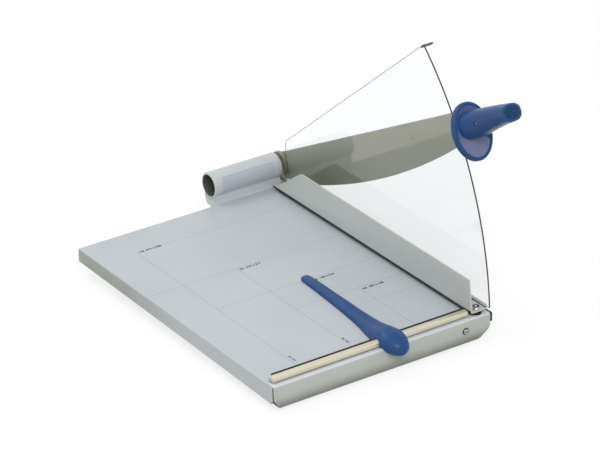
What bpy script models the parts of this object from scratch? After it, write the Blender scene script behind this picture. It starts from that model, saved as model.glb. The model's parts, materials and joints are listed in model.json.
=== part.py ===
"""Guillotine paper cutter for sheets up to 297 x 420 mm.

A folded steel table carries a fixed blade along its right edge. The arm turns on a
shaft in a round housing behind the table and shears past that blade. A sprung
clamp, pressed by a cam on the same shaft, holds the paper while the arm comes down,
and carries a clear guard. A gauge slides along the rail at the front.

The drawing's origin is the paper corner: x runs right to the cutting edge, y away
from the user and z up from the table top. The last step moves the whole cutter so
that it stands centred on the world origin.
"""

import math

import bmesh
import bpy
from mathutils import Matrix, Vector

# Modelling tolerances
WELD = 1e-6
FLAT_ANGLE = math.radians(0.05)
SMOOTH_ANGLE = math.radians(35.0)
# how far the middle of a quarter round lies inside its square corner
ROUND_MIDDLE_SHARE = 1 - math.sqrt(1 / 2)
# the bevel profile that gives a round fold
ROUND_PROFILE_SHARE = 0.5

# Fits
SEAT_GAP = 0.0003
RUNNING_GAP = 0.0003
CUT_OVERRUN = 0.006
CURVE_STEPS = 16
ROUND_SIDES = 40
SCREW_SIDES = 16

# Table, measured from the paper corner
TABLE_REACH_LEFT = 0.3575
TABLE_REACH_BACK = 0.483
TABLE_REACH_FRONT = 0.0195
TABLE_SHEET = 0.0015
TABLE_SEAM = 0.0062
TABLE_FOLD_RADIUS = 0.0020
SKIRT_DEPTH_BACK = 0.020
SKIRT_DEPTH_FRONT = 0.027
SKIRT_CORNER_DROP = 0.020
SKIRT_CORNER_RUN = 0.0055
HEM_WIDTH = 0.009

# Front channel
FRONT_SHEET = 0.0015
FRONT_DEPTH = 0.0365
FRONT_FOOT_WIDTH = 0.030
FRONT_TOP_RADIUS = 0.0030
FRONT_BOTTOM_RADIUS = 0.006
FRONT_LEFT_CUT_RUN = 0.011
FRONT_CORNER_RUN = 0.022
FRONT_CORNER_RISE = 0.0155
FRONT_CORNER_RADIUS = 0.010
FRONT_SCREW_DROP = 0.0155
FRONT_SCREW_HEAD_RADIUS = 0.0042
FRONT_SCREW_HEAD_HEIGHT = 0.0022
FRONT_SCREW_SHANK_RADIUS = 0.002
FRONT_SCREW_LENGTH = 0.010
SLOT_WIDTH = 0.0011
SLOT_DEPTH = 0.0009

# Side beam, front bracket and cross ribs
BEAM_WIDTH = 0.0275
BEAM_DEPTH = 0.0242
BEAM_SHEET = 0.0022
BEAM_FOLD_RADIUS = 0.0027
BEAM_FOOT_WIDTH = 0.020
BEAM_NOSE_DEPTH = 0.0115
BEAM_NOSE_RUN = 0.042
BRACKET_WIDTH = 0.034
BRACKET_FOOT = 0.014
BRACKET_SHEET = 0.002
BRACKET_FOLD_RADIUS = 0.0025
BRACKET_SCREW_INSET = 0.0134
RIB_PLACE_SHARES = (0.11, 0.52, 0.93)
RIB_WIDTH = 0.034
RIB_LIP = 0.009
RIB_DEPTH = 0.0220
RIB_SHEET = 0.0015
RIB_INSET = 0.006
FOOT_INSET = 0.030
FOOT_TOP_RADIUS = 0.0125
FOOT_BOTTOM_RADIUS = 0.0095
FOOT_HEIGHT = 0.0149
FOOT_FILLET = 0.0015
FOOT_DIMPLE_RADIUS = 0.004
FOOT_DIMPLE_DEPTH = 0.005

# Fixed blade
BED_THICKNESS = 0.003
BED_DEPTH = 0.013
BED_SCREW_PLACE_SHARES = (0.10, 0.38, 0.66, 0.93)
BED_SCREW_DROP = 0.0072
BED_SCREW_HEAD_RADIUS = 0.0036
BED_SCREW_SHANK_RADIUS = 0.0018
BED_SCREW_LENGTH = 0.0085
BED_SCREW_SINK = 0.0002

# Paper rail and its gasket
RAIL_INSET_LEFT = 0.0065
RAIL_INSET_RIGHT = 0.0025
RAIL_WIDTH = 0.0099
RAIL_HEIGHT = 0.0080
RAIL_CROWN = 0.0014
RAIL_GROOVE_HEIGHT = 0.0009
RAIL_GROOVE_DEPTH = 0.0007
RAIL_GROOVE_LEVEL = 0.0035
GASKET_HEIGHT = 0.0004
GASKET_FRONT_INSET = 0.0010
GASKET_STRIP_THICKNESS = 0.0018
GASKET_STRIP_RISE = 0.0005
GASKET_INSET = 0.0045
RAIL_SCREW_PLACE_SHARES = (0.06, 0.46, 0.86)
RAIL_SCREW_HEAD_RADIUS = 0.0035
RAIL_SCREW_HEAD_HEIGHT = 0.002
RAIL_SCREW_SHANK_RADIUS = 0.0018
RAIL_SCREW_DEPTH = 0.0045

# Pivot and its housing
PIVOT_BEHIND_TABLE = 0.017
PIVOT_HEIGHT = 0.025
HOUSING_LEFT = 0.126
HOUSING_RIGHT = 0.0105
HOUSING_RADIUS = 0.0195
HOUSING_BORE = 0.0165
HOUSING_RIM = 0.0016
HOUSING_SADDLE_THICKNESS = 0.0165
HOUSING_SADDLE_DROP = 0.0195
HOUSING_SHELF_REACH = 0.0275
HOUSING_SHELF_DROP = 0.0078
HOUSING_SHELF_RADIUS = 0.003
SADDLE_BACK_ANGLE = math.radians(14.0)
SADDLE_FRONT_ANGLE = math.radians(40.0)
LABEL_INSET_LEFT = 0.013
LABEL_INSET_RIGHT = 0.0135
LABEL_DEPTH = 0.0006
LABEL_LOW_ANGLE = math.radians(-36.0)
LABEL_HIGH_ANGLE = math.radians(46.0)
HOUSING_BOLT_PLACE_SHARES = (0.12, 0.50, 0.92)
HOUSING_BOLT_DROP = 0.0135
HOUSING_BOLT_HEAD_RADIUS = 0.0045
HOUSING_BOLT_HEAD_HEIGHT = 0.004
HOUSING_BOLT_SHANK_RADIUS = 0.0028
HOUSING_BOLT_LENGTH = 0.0205
SHAFT_RADIUS = 0.008
SHAFT_CHAMFER = 0.001
SHAFT_INSET = 0.020
BUSH_RIGHT_LENGTH = 0.024
BUSH_LEFT_LENGTH = 0.011
BUSH_LEFT_INSET = 0.022
SPRING_TURNS = 8
SPRING_COIL_RADIUS = 0.0125
SPRING_WIRE_RADIUS = 0.0015
WASHER_THICKNESS = 0.0034
WASHER_RADIUS = 0.0150
NUT_RADIUS = 0.0140
NUT_LENGTH = 0.008
NUT_PLAY = 0.0014
THRUST_WASHER_RADIUS = 0.0190
THRUST_WASHER_THICKNESS = 0.0051
CAM_THICKNESS = 0.0048
CAM_HUB_RADIUS = 0.0115
CAM_ROOT_SHARE = 0.8
CAM_OVERSWING = math.radians(3.0)
HUB_NUT_RADIUS = 0.0135
HUB_NUT_LENGTH = 0.008
HUB_NUT_DOME = 0.0025

# Arm: angles above the horizontal
ARM_REST_ANGLE = math.radians(27.3)
ARM_LOW_ANGLE = math.radians(0.3)
ARM_HIGH_ANGLE = math.radians(38.3)
BLADE_THICKNESS = 0.004
BLADE_PLAY = 0.0003
BLADE_TOP = 0.016
BLADE_ROOT_RADIUS = 0.0205
BLADE_DEPTH = 0.068
BLADE_TIP_DEPTH = 0.0394
BLADE_CREST_SHARE = 0.47
BLADE_HEEL = 0.060
BLADE_HEEL_RUN = 0.010
BLADE_HEEL_RISE = 0.0035
BLADE_ROOT_END = math.radians(-100.0)
BLADE_BEVEL = 0.0032
BLADE_SCREW_PLACE_SHARES = (0.529, 0.721)
BLADE_SCREW_DEPTHS = (0.0145, 0.0195)
BLADE_SCREW_HEAD_RADIUS = 0.0042
BLADE_SCREW_SHANK_RADIUS = 0.0022
BLADE_SCREW_HEAD_HEIGHT = 0.0018
BAR_THICKNESS = 0.005
BAR_HUB_RADIUS = 0.0165
BAR_BOSS_HEIGHT = 0.004
BAR_ROOT_HALF_HEIGHT = 0.0125
BAR_TIP_HALF_HEIGHT = 0.0095
BAR_TIP_DROP = 0.005
BAR_EDGE = 0.0008
BAR_HUB_ANGLE = math.radians(125.0)

# Finger guard and handle
GUARD_PLAY = 0.0021
GUARD_THICKNESS = 0.0105
GUARD_HALF_WIDTH = 0.030
GUARD_HALF_HEIGHT = 0.0408
GUARD_DROP = 0.014
GUARD_CENTRE_X = -0.0005
GUARD_EDGE = 0.0026
GUARD_DISH = 0.0008
GUARD_RIM = 0.0015
HANDLE_LENGTH = 0.104
HANDLE_ROOT_WIDTH = 0.043
HANDLE_ROOT_HEIGHT = 0.039
HANDLE_TOP = 0.0145
HANDLE_RIM = 0.0016
HANDLE_DISH = 0.0012
HANDLE_SECTION_POWER = 2.4
HANDLE_SIDES = 28
HANDLE_POCKET_DEPTH = 0.050
HANDLE_SCREW_REACH = 0.0325
HANDLE_SCREW_DROP = 0.0040
HANDLE_SCREW_HEAD_RADIUS = 0.0030
HANDLE_SCREW_HEAD_HEIGHT = 0.0020
HANDLE_SCREW_SHANK_RADIUS = 0.0016
HANDLE_SCREW_SINK = 0.0020
# place along the handle, half width, top and underside, each as a share of its root size
HANDLE_SECTION_SHARES = (
    (0.000, 1.00, 1.00, 1.00),
    (0.070, 0.93, 0.99, 1.00),
    (0.160, 0.84, 0.98, 1.00),
    (0.270, 0.78, 0.97, 0.96),
    (0.420, 0.75, 0.96, 0.84),
    (0.620, 0.73, 0.93, 0.70),
    (0.820, 0.72, 0.87, 0.60),
    (0.940, 0.72, 0.82, 0.545),
    (0.985, 0.72, 0.80, 0.535),
    (1.000, 0.65, 0.70, 0.47),
)

# Clamp bar, its rubber, guide pins and springs
CLAMP_LEFT = 0.0325
CLAMP_RIGHT = 0.0059
CLAMP_SHEET = 0.0020
CLAMP_FRONT_INSET = 0.004
CLAMP_BACK_INSET = 0.009
CLAMP_LIFT = 0.0043
CLAMP_TRAVEL = 0.0040
CLAMP_WALL_HEIGHT = 0.0585
CLAMP_WALL_LEAN = 0.0035
CLAMP_WALL_SHOULDER_INSET = 0.0885
CLAMP_WALL_SHOULDER_RADIUS = 0.020
CLAMP_WALL_LOW_HEIGHT = 0.010
CLAMP_WALL_LOW_INSET = 0.0195
CLAMP_LIP_HEIGHT = 0.0053
CLAMP_FOLD_RADIUS = 0.0025
CLAMP_TAIL_INSET = 0.005
RUBBER_HEIGHT = 0.0006
RUBBER_INSET = 0.0012
GUIDE_INSET = 0.0131
GUIDE_FRONT_INSET = 0.0073
GUIDE_REAR_INSET = 0.022
GUIDE_PIN_RADIUS = 0.0034
GUIDE_PIN_LENGTH = 0.0220
GUIDE_HEAD_RADIUS = 0.0058
GUIDE_HEAD_HEIGHT = 0.0024
GUIDE_FLANGE_RADIUS = 0.0066
GUIDE_FLANGE_HEIGHT = 0.0008
GUIDE_SOCKET_RADIUS = 0.0022
GUIDE_SOCKET_DEPTH = 0.0014
GUIDE_CUP_RADIUS = 0.0072
GUIDE_CUP_WALL = 0.0014
GUIDE_CUP_DEPTH = 0.0125
GUIDE_CUP_FLOOR = 0.0025
CLAMP_SPRING_WIRE = 0.0004
CLAMP_SPRING_RADIUS = 0.0050
CLAMP_SPRING_TURNS = 5
SPRING_WELL_RADIUS = 0.0061

# Clear guard
SHIELD_THICKNESS = 0.0024
SHIELD_LOWER_EDGE = 0.0078
SHIELD_BACK_INSET = 0.004
SHIELD_BACK_HEIGHT = 0.0703
SHIELD_TIP_ANGLE = math.radians(40.89)
SHIELD_TIP_PLAY = 0.0314
SHIELD_ARC_PLAY = 0.0201
SHIELD_CORNER_RADIUS = 0.006
STOP_LIP_REACH = 0.0140
STOP_LIP_LENGTH = 0.0085
STOP_LIP_SET = 0.0003
SHIELD_SCREW_PLACE_SHARES = (0.065, 0.495, 0.905)
SHIELD_SCREW_HEAD_RADIUS = 0.0022
SHIELD_SCREW_HEAD_HEIGHT = 0.0014
SHIELD_SCREW_SHANK_RADIUS = 0.0012
SHIELD_SCREW_LENGTH = 0.0042
SHIELD_SCREW_RISE = 0.0030

# Paper gauge
GAUGE_CENTRE = 0.1615
GAUGE_TIP_REACH = 0.213
GAUGE_HEAD_OVERHANG = 0.022
GAUGE_HALF_WIDTH = 0.0205
GAUGE_RISE = 0.0112
GAUGE_HEAD_DROP = 0.0105
GAUGE_SIDES = 32
GAUGE_SHOE_LENGTH = 0.020
GAUGE_SHOE_WIDTH = 0.0075
GAUGE_SHOE_HEIGHT = 0.0022
GAUGE_POCKET_HEIGHT = 0.0046
GAUGE_SPRING_SHEET = 0.0003
GAUGE_SPRING_WIDTH = 0.0055
GAUGE_SPRING_RISE = 0.0013
# place, left and right edges, height and drop, as shares of the reach, half width,
# height and head drop, and the squareness of the section; the place is negative on the
# user's side of the rail
GAUGE_SECTION_SHARES = (
    (-1.000, 0.10, 0.12, 0.10, 0.26, 2.0),
    (-0.965, 0.30, 0.34, 0.30, 0.52, 2.0),
    (-0.880, 0.53, 0.57, 0.52, 0.78, 2.0),
    (-0.740, 0.73, 0.76, 0.73, 0.96, 2.0),
    (-0.540, 0.90, 0.92, 0.92, 1.00, 2.0),
    (-0.280, 1.00, 1.00, 1.00, 1.00, 2.1),
    (0.010, 0.96, 1.00, 0.95, 1.00, 2.2),
    (0.050, 0.89, 0.97, 0.84, 1.00, 2.3),
    (0.100, 0.79, 0.93, 0.70, 1.00, 2.4),
    (0.160, 0.67, 0.89, 0.58, 1.00, 2.6),
    (0.240, 0.50, 0.85, 0.49, 1.00, 2.8),
    (0.350, 0.34, 0.82, 0.43, 1.00, 3.2),
    (0.500, 0.19, 0.82, 0.38, 1.00, 3.8),
    (0.690, 0.03, 0.83, 0.35, 1.00, 4.4),
    (0.880, -0.09, 0.84, 0.33, 1.00, 5.0),
    (0.975, -0.12, 0.82, 0.32, 1.00, 5.0),
    (0.995, -0.17, 0.76, 0.31, 1.00, 4.4),
    (1.000, -0.27, 0.66, 0.29, 1.00, 4.0),
)

# Finishes: colour, roughness, metallic and alpha
FINISHES = {
    "table_grey": ((0.50, 0.53, 0.56), 0.45, 0.0, 1.0),
    "front_grey": ((0.40, 0.42, 0.40), 0.40, 0.2, 1.0),
    "clamp_grey": ((0.37, 0.40, 0.39), 0.42, 0.2, 1.0),
    "housing_grey": ((0.50, 0.52, 0.52), 0.42, 0.1, 1.0),
    "champagne": ((0.62, 0.59, 0.43), 0.30, 0.9, 1.0),
    "blue_plastic": ((0.033, 0.065, 0.22), 0.28, 0.0, 1.0),
    "polished_steel": ((0.42, 0.43, 0.38), 0.18, 1.0, 1.0),
    "zinc_steel": ((0.60, 0.60, 0.58), 0.32, 1.0, 1.0),
    "black_steel": ((0.012, 0.012, 0.012), 0.45, 0.6, 1.0),
    "alloy": ((0.55, 0.56, 0.56), 0.38, 0.9, 1.0),
    "bronze": ((0.52, 0.36, 0.14), 0.35, 0.9, 1.0),
    "black_rubber": ((0.012, 0.012, 0.013), 0.75, 0.0, 1.0),
    "clear_sheet": ((0.86, 0.92, 0.95), 0.05, 0.0, 0.25),
    "nylon": ((0.75, 0.75, 0.70), 0.50, 0.0, 1.0),
}

# Levels and places that several pieces share
BEAM_RIGHT_X = -BED_THICKNESS - SEAT_GAP
BEAM_TOP_Z = -TABLE_SHEET - SEAT_GAP
BEAM_BOTTOM_Z = BEAM_TOP_Z - BEAM_DEPTH
TABLE_RIGHT_X = BEAM_RIGHT_X
BRACKET_RIGHT_X = BEAM_RIGHT_X - BEAM_WIDTH - SEAT_GAP
FRONT_SCREW_X = BRACKET_RIGHT_X - BRACKET_SCREW_INSET
FRONT_FACE_Y = -TABLE_REACH_FRONT
FRONT_BACK_Y = FRONT_FACE_Y + FRONT_SHEET
RAIL_BOTTOM_Z = 2 * SEAT_GAP + GASKET_HEIGHT
RAIL_TOP_Z = RAIL_BOTTOM_Z + RAIL_HEIGHT
RAIL_BACK_Y = -GASKET_STRIP_THICKNESS - SEAT_GAP
RAIL_FRONT_Y = RAIL_BACK_Y - RAIL_WIDTH
RAIL_MIDDLE_Y = (RAIL_FRONT_Y + RAIL_BACK_Y) / 2
GASKET_FRONT_Y = RAIL_FRONT_Y + GASKET_FRONT_INSET
GASKET_TOP_Z = RAIL_TOP_Z + GASKET_STRIP_RISE
RAIL_LEFT_X = -TABLE_REACH_LEFT + RAIL_INSET_LEFT
RAIL_RIGHT_X = -CLAMP_LEFT - RAIL_INSET_RIGHT
RIB_TOP_Z = BEAM_TOP_Z
RIB_BOTTOM_Z = RIB_TOP_Z - RIB_DEPTH
CLAMP_FRONT_Y = FRONT_FACE_Y + CLAMP_FRONT_INSET
CLAMP_BACK_Y = TABLE_REACH_BACK - CLAMP_BACK_INSET
GUIDE_X = -CLAMP_RIGHT - GUIDE_INSET
GUIDE_FRONT_Y = CLAMP_FRONT_Y + GUIDE_FRONT_INSET
GUIDE_REAR_Y = CLAMP_BACK_Y - GUIDE_REAR_INSET
PIVOT_Y = TABLE_REACH_BACK + PIVOT_BEHIND_TABLE
GUARD_REACH = PIVOT_Y + TABLE_REACH_FRONT + GUARD_PLAY
CLAMP_RUBBER_BOTTOM_Z = CLAMP_LIFT
CLAMP_FLOOR_Z = CLAMP_LIFT + RUBBER_HEIGHT + SEAT_GAP
CLAMP_FLOOR_TOP_Z = CLAMP_FLOOR_Z + CLAMP_SHEET
BLADE_LEFT_X = BLADE_PLAY
BLADE_RIGHT_X = BLADE_LEFT_X + BLADE_THICKNESS
BAR_LEFT_X = BLADE_RIGHT_X + SEAT_GAP
BAR_RIGHT_X = BAR_LEFT_X + BAR_THICKNESS
SHIELD_RIGHT_X = -CLAMP_RIGHT + SEAT_GAP + SHIELD_THICKNESS
SHIELD_ARC_RADIUS = GUARD_REACH - SHIELD_ARC_PLAY
GAUGE_HEIGHT = RAIL_TOP_Z + GAUGE_RISE
GAUGE_HEAD_REACH = TABLE_REACH_FRONT + GAUGE_HEAD_OVERHANG
ARM_SWING = ARM_REST_ANGLE - ARM_LOW_ANGLE
CAM_RISE = CLAMP_TRAVEL / ARM_SWING
CAM_REST_DISTANCE = PIVOT_HEIGHT - CLAMP_FLOOR_TOP_Z - SEAT_GAP
CAM_RIGHT_X = BLADE_LEFT_X - THRUST_WASHER_THICKNESS - 2 * SEAT_GAP
CAM_LEFT_X = CAM_RIGHT_X - CAM_THICKNESS

# Outline planes: each turns an outline drawn in x and y, and its thickness in z
SIDE_PLANE = Matrix(((0, 0, 1), (1, 0, 0), (0, 1, 0)))
FRONT_PLANE = Matrix(((1, 0, 0), (0, 0, -1), (0, 1, 0)))
# Turned pieces have their axis along z, and these turn it along x or y
ALONG_X = Matrix(((0, 0, 1), (0, 1, 0), (-1, 0, 0)))
ALONG_Y = Matrix(((1, 0, 0), (0, 0, 1), (0, -1, 0)))
ALONG_Z = Matrix(((1, 0, 0), (0, 1, 0), (0, 0, 1)))
FACE_LEFT = Matrix(((0, 0, -1), (0, 1, 0), (1, 0, 0)))
FACE_FRONT = Matrix(((1, 0, 0), (0, 0, -1), (0, 1, 0)))
UPSIDE_DOWN = Matrix(((1, 0, 0), (0, -1, 0), (0, 0, -1)))


for old in list(bpy.data.objects):
    bpy.data.objects.remove(old, do_unlink=True)


def new_collection(name):
    """Makes a collection in the scene."""
    collection = bpy.data.collections.new(name)
    bpy.context.scene.collection.children.link(collection)
    return collection


PARTS = new_collection("paper_cutter")
CUTTERS = new_collection("cutters")


def new_material(name, finish):
    """Makes a Principled BSDF with the finish's colour, roughness, metallic and alpha."""
    colour, roughness, metallic, alpha = FINISHES[finish]
    material = bpy.data.materials.new(name)
    material.use_nodes = True
    shader = material.node_tree.nodes["Principled BSDF"]
    shader.inputs["Base Color"].default_value = (*colour, 1.0)
    shader.inputs["Roughness"].default_value = roughness
    shader.inputs["Metallic"].default_value = metallic
    shader.inputs["Alpha"].default_value = alpha
    material.diffuse_color = (*colour, alpha)
    return material


def new_empty(name, parent=None, location=(0, 0, 0), turn_x=0.0):
    """Makes an empty that carries the pieces of one body."""
    empty = bpy.data.objects.new(name, None)
    empty.location = location
    empty.rotation_euler = (turn_x, 0, 0)
    empty.parent = parent
    PARTS.objects.link(empty)
    return empty


def add_piece(name, data, finish, carrier, smooth=True):
    """Links one piece under its carrier and gives it its own material."""
    piece = bpy.data.objects.new(name, data)
    piece.parent = carrier
    PARTS.objects.link(piece)
    data.materials.append(new_material(name, finish))
    if smooth and isinstance(data, bpy.types.Mesh):
        data.shade_smooth()
        data.set_sharp_from_angle(angle=SMOOTH_ANGLE)
    return piece


def add_cutter(name, mesh, carrier):
    """Links a cutter, which only Boolean modifiers read."""
    cutter = bpy.data.objects.new(name, mesh)
    cutter.parent = carrier
    cutter.hide_render = True
    cutter.display_type = "WIRE"
    CUTTERS.objects.link(cutter)
    return cutter


def combine(piece, tool, operation="DIFFERENCE"):
    """Adds an exact Boolean of the tool to the piece."""
    modifier = piece.modifiers.new(tool.name, "BOOLEAN")
    modifier.operation = operation
    modifier.solver = "EXACT"
    modifier.object = tool


def add_bevel(piece, width):
    """Chamfers the sharp edges of a piece."""
    modifier = piece.modifiers.new("edges", "BEVEL")
    modifier.width = width
    modifier.segments = 1
    modifier.limit_method = "ANGLE"
    modifier.angle_limit = SMOOTH_ANGLE


def mesh_from(bm, name, recalculate=True):
    """Turns a bmesh into a mesh with its normals pointing out."""
    if recalculate:
        bmesh.ops.recalc_face_normals(bm, faces=bm.faces)
    mesh = bpy.data.meshes.new(name)
    bm.to_mesh(mesh)
    bm.free()
    return mesh


def box_mesh(name, low, high):
    """A box between two corners."""
    bm = bmesh.new()
    bmesh.ops.create_cube(bm, size=1.0)
    size = Vector(high) - Vector(low)
    middle = (Vector(high) + Vector(low)) / 2
    bmesh.ops.scale(bm, vec=size, verts=bm.verts)
    bmesh.ops.translate(bm, vec=middle, verts=bm.verts)
    return mesh_from(bm, name)


def plate_bmesh(outline, thickness, plane, offset):
    """A flat outline as a filled 2D curve, turned into its plane and welded."""
    curve = bpy.data.curves.new("outline", "CURVE")
    curve.dimensions = "2D"
    curve.fill_mode = "BOTH"
    curve.extrude = thickness / 2
    spline = curve.splines.new("POLY")
    spline.points.add(len(outline) - 1)
    for point, place in zip(spline.points, outline):
        point.co = (place[0], place[1], 0, 1)
    spline.use_cyclic_u = True
    holder = bpy.data.objects.new("outline", curve)
    CUTTERS.objects.link(holder)
    bpy.context.view_layer.update()
    evaluated = holder.evaluated_get(bpy.context.evaluated_depsgraph_get())
    mesh = bpy.data.meshes.new_from_object(evaluated)
    bm = bmesh.new()
    bm.from_mesh(mesh)
    bpy.data.objects.remove(holder, do_unlink=True)
    bpy.data.curves.remove(curve)
    bpy.data.meshes.remove(mesh)
    bmesh.ops.remove_doubles(bm, verts=bm.verts, dist=WELD)
    bmesh.ops.dissolve_limit(bm, angle_limit=FLAT_ANGLE, verts=bm.verts, edges=bm.edges)
    bmesh.ops.transform(bm, matrix=plane.to_4x4(), verts=bm.verts)
    bmesh.ops.translate(bm, vec=Vector(offset), verts=bm.verts)
    bmesh.ops.recalc_face_normals(bm, faces=bm.faces)
    return bm


def side_plate(outline, left, right):
    """An outline in y and z with its thickness between two x values."""
    return plate_bmesh(outline, right - left, SIDE_PLANE, ((left + right) / 2, 0, 0))


def front_plate(outline, near, far):
    """An outline in x and z with its thickness between two y values."""
    return plate_bmesh(outline, far - near, FRONT_PLANE, (0, (near + far) / 2, 0))


def arc(centre, radius, start, end, steps=CURVE_STEPS):
    """Points along an arc, both ends included."""
    points = []
    for step in range(steps + 1):
        angle = start + (end - start) * step / steps
        points.append((centre[0] + radius * math.cos(angle), centre[1] + radius * math.sin(angle)))
    return points


def round_corner(before, corner, after, radius, steps=CURVE_STEPS // 2):
    """Points of the arc that rounds the corner between two straight lines."""
    corner = Vector(corner)
    back = (Vector(before) - corner).normalized()
    ahead = (Vector(after) - corner).normalized()
    half = back.angle(ahead) / 2
    centre = corner + (back + ahead).normalized() * radius / math.sin(half)
    first = corner + back * radius / math.tan(half) - centre
    last = corner + ahead * radius / math.tan(half) - centre
    start = math.atan2(first.y, first.x)
    return arc(centre, radius, start, start - first.angle_signed(last), steps)


def turned_mesh(name, profile, turn, place, sides=SCREW_SIDES):
    """A profile of radius and height, top to bottom, turned about its axis."""
    mesh = bpy.data.meshes.new(name)
    closed = profile[0][0] > 0
    edges = [(i, i + 1) for i in range(len(profile) - 1)]
    if closed:
        edges.append((len(profile) - 1, 0))
    mesh.from_pydata([(radius, 0, height) for radius, height in profile], edges, [])
    holder = bpy.data.objects.new(name, mesh)
    CUTTERS.objects.link(holder)
    screw = holder.modifiers.new("turn", "SCREW")
    screw.steps = sides
    screw.render_steps = sides
    screw.use_merge_vertices = True
    screw.merge_threshold = WELD
    bpy.context.view_layer.update()
    evaluated = holder.evaluated_get(bpy.context.evaluated_depsgraph_get())
    turned = bpy.data.meshes.new_from_object(evaluated)
    bm = bmesh.new()
    bm.from_mesh(turned)
    bpy.data.objects.remove(holder, do_unlink=True)
    bpy.data.meshes.remove(mesh)
    bpy.data.meshes.remove(turned)
    bmesh.ops.remove_doubles(bm, verts=bm.verts, dist=WELD)
    bmesh.ops.transform(bm, matrix=turn.to_4x4(), verts=bm.verts)
    bmesh.ops.translate(bm, vec=Vector(place), verts=bm.verts)
    return mesh_from(bm, name)


def rod_mesh(name, radius, start, end, turn, place, sides=SCREW_SIDES):
    """A plain round rod between two heights along its axis."""
    return turned_mesh(name, ((0, end), (radius, end), (radius, start), (0, start)), turn, place, sides)


def ring_mesh(name, outer, inner, start, end, turn, place, sides=SCREW_SIDES):
    """A plain ring between two heights along its axis."""
    profile = ((outer, end), (outer, start), (inner, start), (inner, end))
    return turned_mesh(name, profile, turn, place, sides)


def headed_profile(head_radius, head_height, shank_radius, length):
    """A pan head above z zero and its shank below."""
    edge = head_height / 4
    return (
        (0, head_height),
        (head_radius - edge, head_height),
        (head_radius, head_height - edge),
        (head_radius, 0),
        (shank_radius, 0),
        (shank_radius, -length),
        (0, -length),
    )


def sunk_profile(head_radius, shank_radius, length):
    """A countersunk head with its face at z zero."""
    return (
        (0, 0),
        (head_radius, 0),
        (shank_radius, shank_radius - head_radius),
        (shank_radius, -length),
        (0, -length),
    )


def cut_slot(piece, name, carrier, radius, plane, place):
    """A screwdriver slot across a head whose face lies at the given place."""
    half = SLOT_WIDTH / 2
    bm = bmesh.new()
    bmesh.ops.create_cube(bm, size=1.0)
    reach = 2 * (radius + CUT_OVERRUN)
    bmesh.ops.scale(bm, vec=(reach, 2 * half, 2 * SLOT_DEPTH), verts=bm.verts)
    bmesh.ops.transform(bm, matrix=plane.to_4x4(), verts=bm.verts)
    bmesh.ops.translate(bm, vec=Vector(place), verts=bm.verts)
    combine(piece, add_cutter(name, mesh_from(bm, name), carrier))


def folded_sheet(name, bm, thickness, outside, finish, carrier):
    """An open folded surface with its wall grown on the side away from outside."""
    bmesh.ops.recalc_face_normals(bm, faces=bm.faces)
    widest = max(bm.faces, key=lambda face: face.calc_area())
    if widest.normal.dot(Vector(outside)) < 0:
        bmesh.ops.reverse_faces(bm, faces=bm.faces)
    piece = add_piece(name, mesh_from(bm, name, recalculate=False), finish, carrier)
    wall = piece.modifiers.new("wall", "SOLIDIFY")
    wall.thickness = thickness
    wall.offset = -1
    wall.use_even_offset = True
    wall.use_quality_normals = True
    return piece


def extruded_path(path, start, end, along):
    """An open surface: a path extruded straight, with the edges along it returned."""
    bm = bmesh.new()
    verts = [bm.verts.new(Vector(point) + Vector(along) * start) for point in path]
    edges = [bm.edges.new(pair) for pair in zip(verts[:-1], verts[1:])]
    grown = bmesh.ops.extrude_edge_only(bm, edges=edges)["geom"]
    moved = [item for item in grown if isinstance(item, bmesh.types.BMVert)]
    bmesh.ops.translate(bm, vec=Vector(along) * (end - start), verts=moved)
    return bm


def fold_edges(bm, places, radius, segments=3):
    """Rounds the folds whose edges pass through the given places."""
    edges = []
    for edge in bm.edges:
        if len(edge.link_faces) != 2:
            continue
        for place in places:
            if all(matches(vert.co, place) for vert in edge.verts):
                edges.append(edge)
    bmesh.ops.bevel(
        bm, geom=edges, offset=radius, offset_type="OFFSET", segments=segments,
        profile=ROUND_PROFILE_SHARE, affect="EDGES",
    )


def matches(co, place):
    """Whether a point has the coordinates of a place, where None means any."""
    return all(want is None or abs(have - want) < WELD for have, want in zip(co, place))


def coil_curve(name, radius, wire, start, end, turns, turn, place, points_a_turn=10):
    """An open coil from a helix formula."""
    curve = bpy.data.curves.new(name, "CURVE")
    curve.dimensions = "3D"
    curve.bevel_depth = wire
    curve.bevel_resolution = 1
    curve.use_fill_caps = True
    count = turns * points_a_turn + 1
    spline = curve.splines.new("POLY")
    spline.points.add(count - 1)
    for index, point in enumerate(spline.points):
        angle = 2 * math.pi * index / points_a_turn
        height = start + (end - start) * index / (count - 1)
        local = turn @ Vector((radius * math.cos(angle), radius * math.sin(angle), height))
        point.co = (*(local + Vector(place)), 1)
    pitch = abs(end - start) / turns
    print(name, "least gap between turns", round(pitch - 2 * wire, 5))
    return curve


def rounded_section(left, right, low, high, power, sides):
    """Points of a superellipse that fills a box in x and z."""
    points = []
    for index in range(sides):
        angle = 2 * math.pi * index / sides
        cosine = math.cos(angle)
        sine = math.sin(angle)
        across = math.copysign(abs(cosine) ** (2 / power), cosine)
        up = math.copysign(abs(sine) ** (2 / power), sine)
        x = (left + right) / 2 + across * (right - left) / 2
        z = (low + high) / 2 + up * (high - low) / 2
        points.append((x, z))
    return points


def loft_bmesh(sections):
    """A closed skin through sections given as (y, points in x and z)."""
    bm = bmesh.new()
    rings = []
    for place, points in sections:
        rings.append([bm.verts.new((across, place, up)) for across, up in points])
    for near, far in zip(rings[:-1], rings[1:]):
        count = len(near)
        for index in range(count):
            after = (index + 1) % count
            bm.faces.new((near[index], near[after], far[after], far[index]))
    bm.faces.new(rings[0])
    bm.faces.new(rings[-1])
    bmesh.ops.recalc_face_normals(bm, faces=bm.faces)
    return bm


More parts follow.
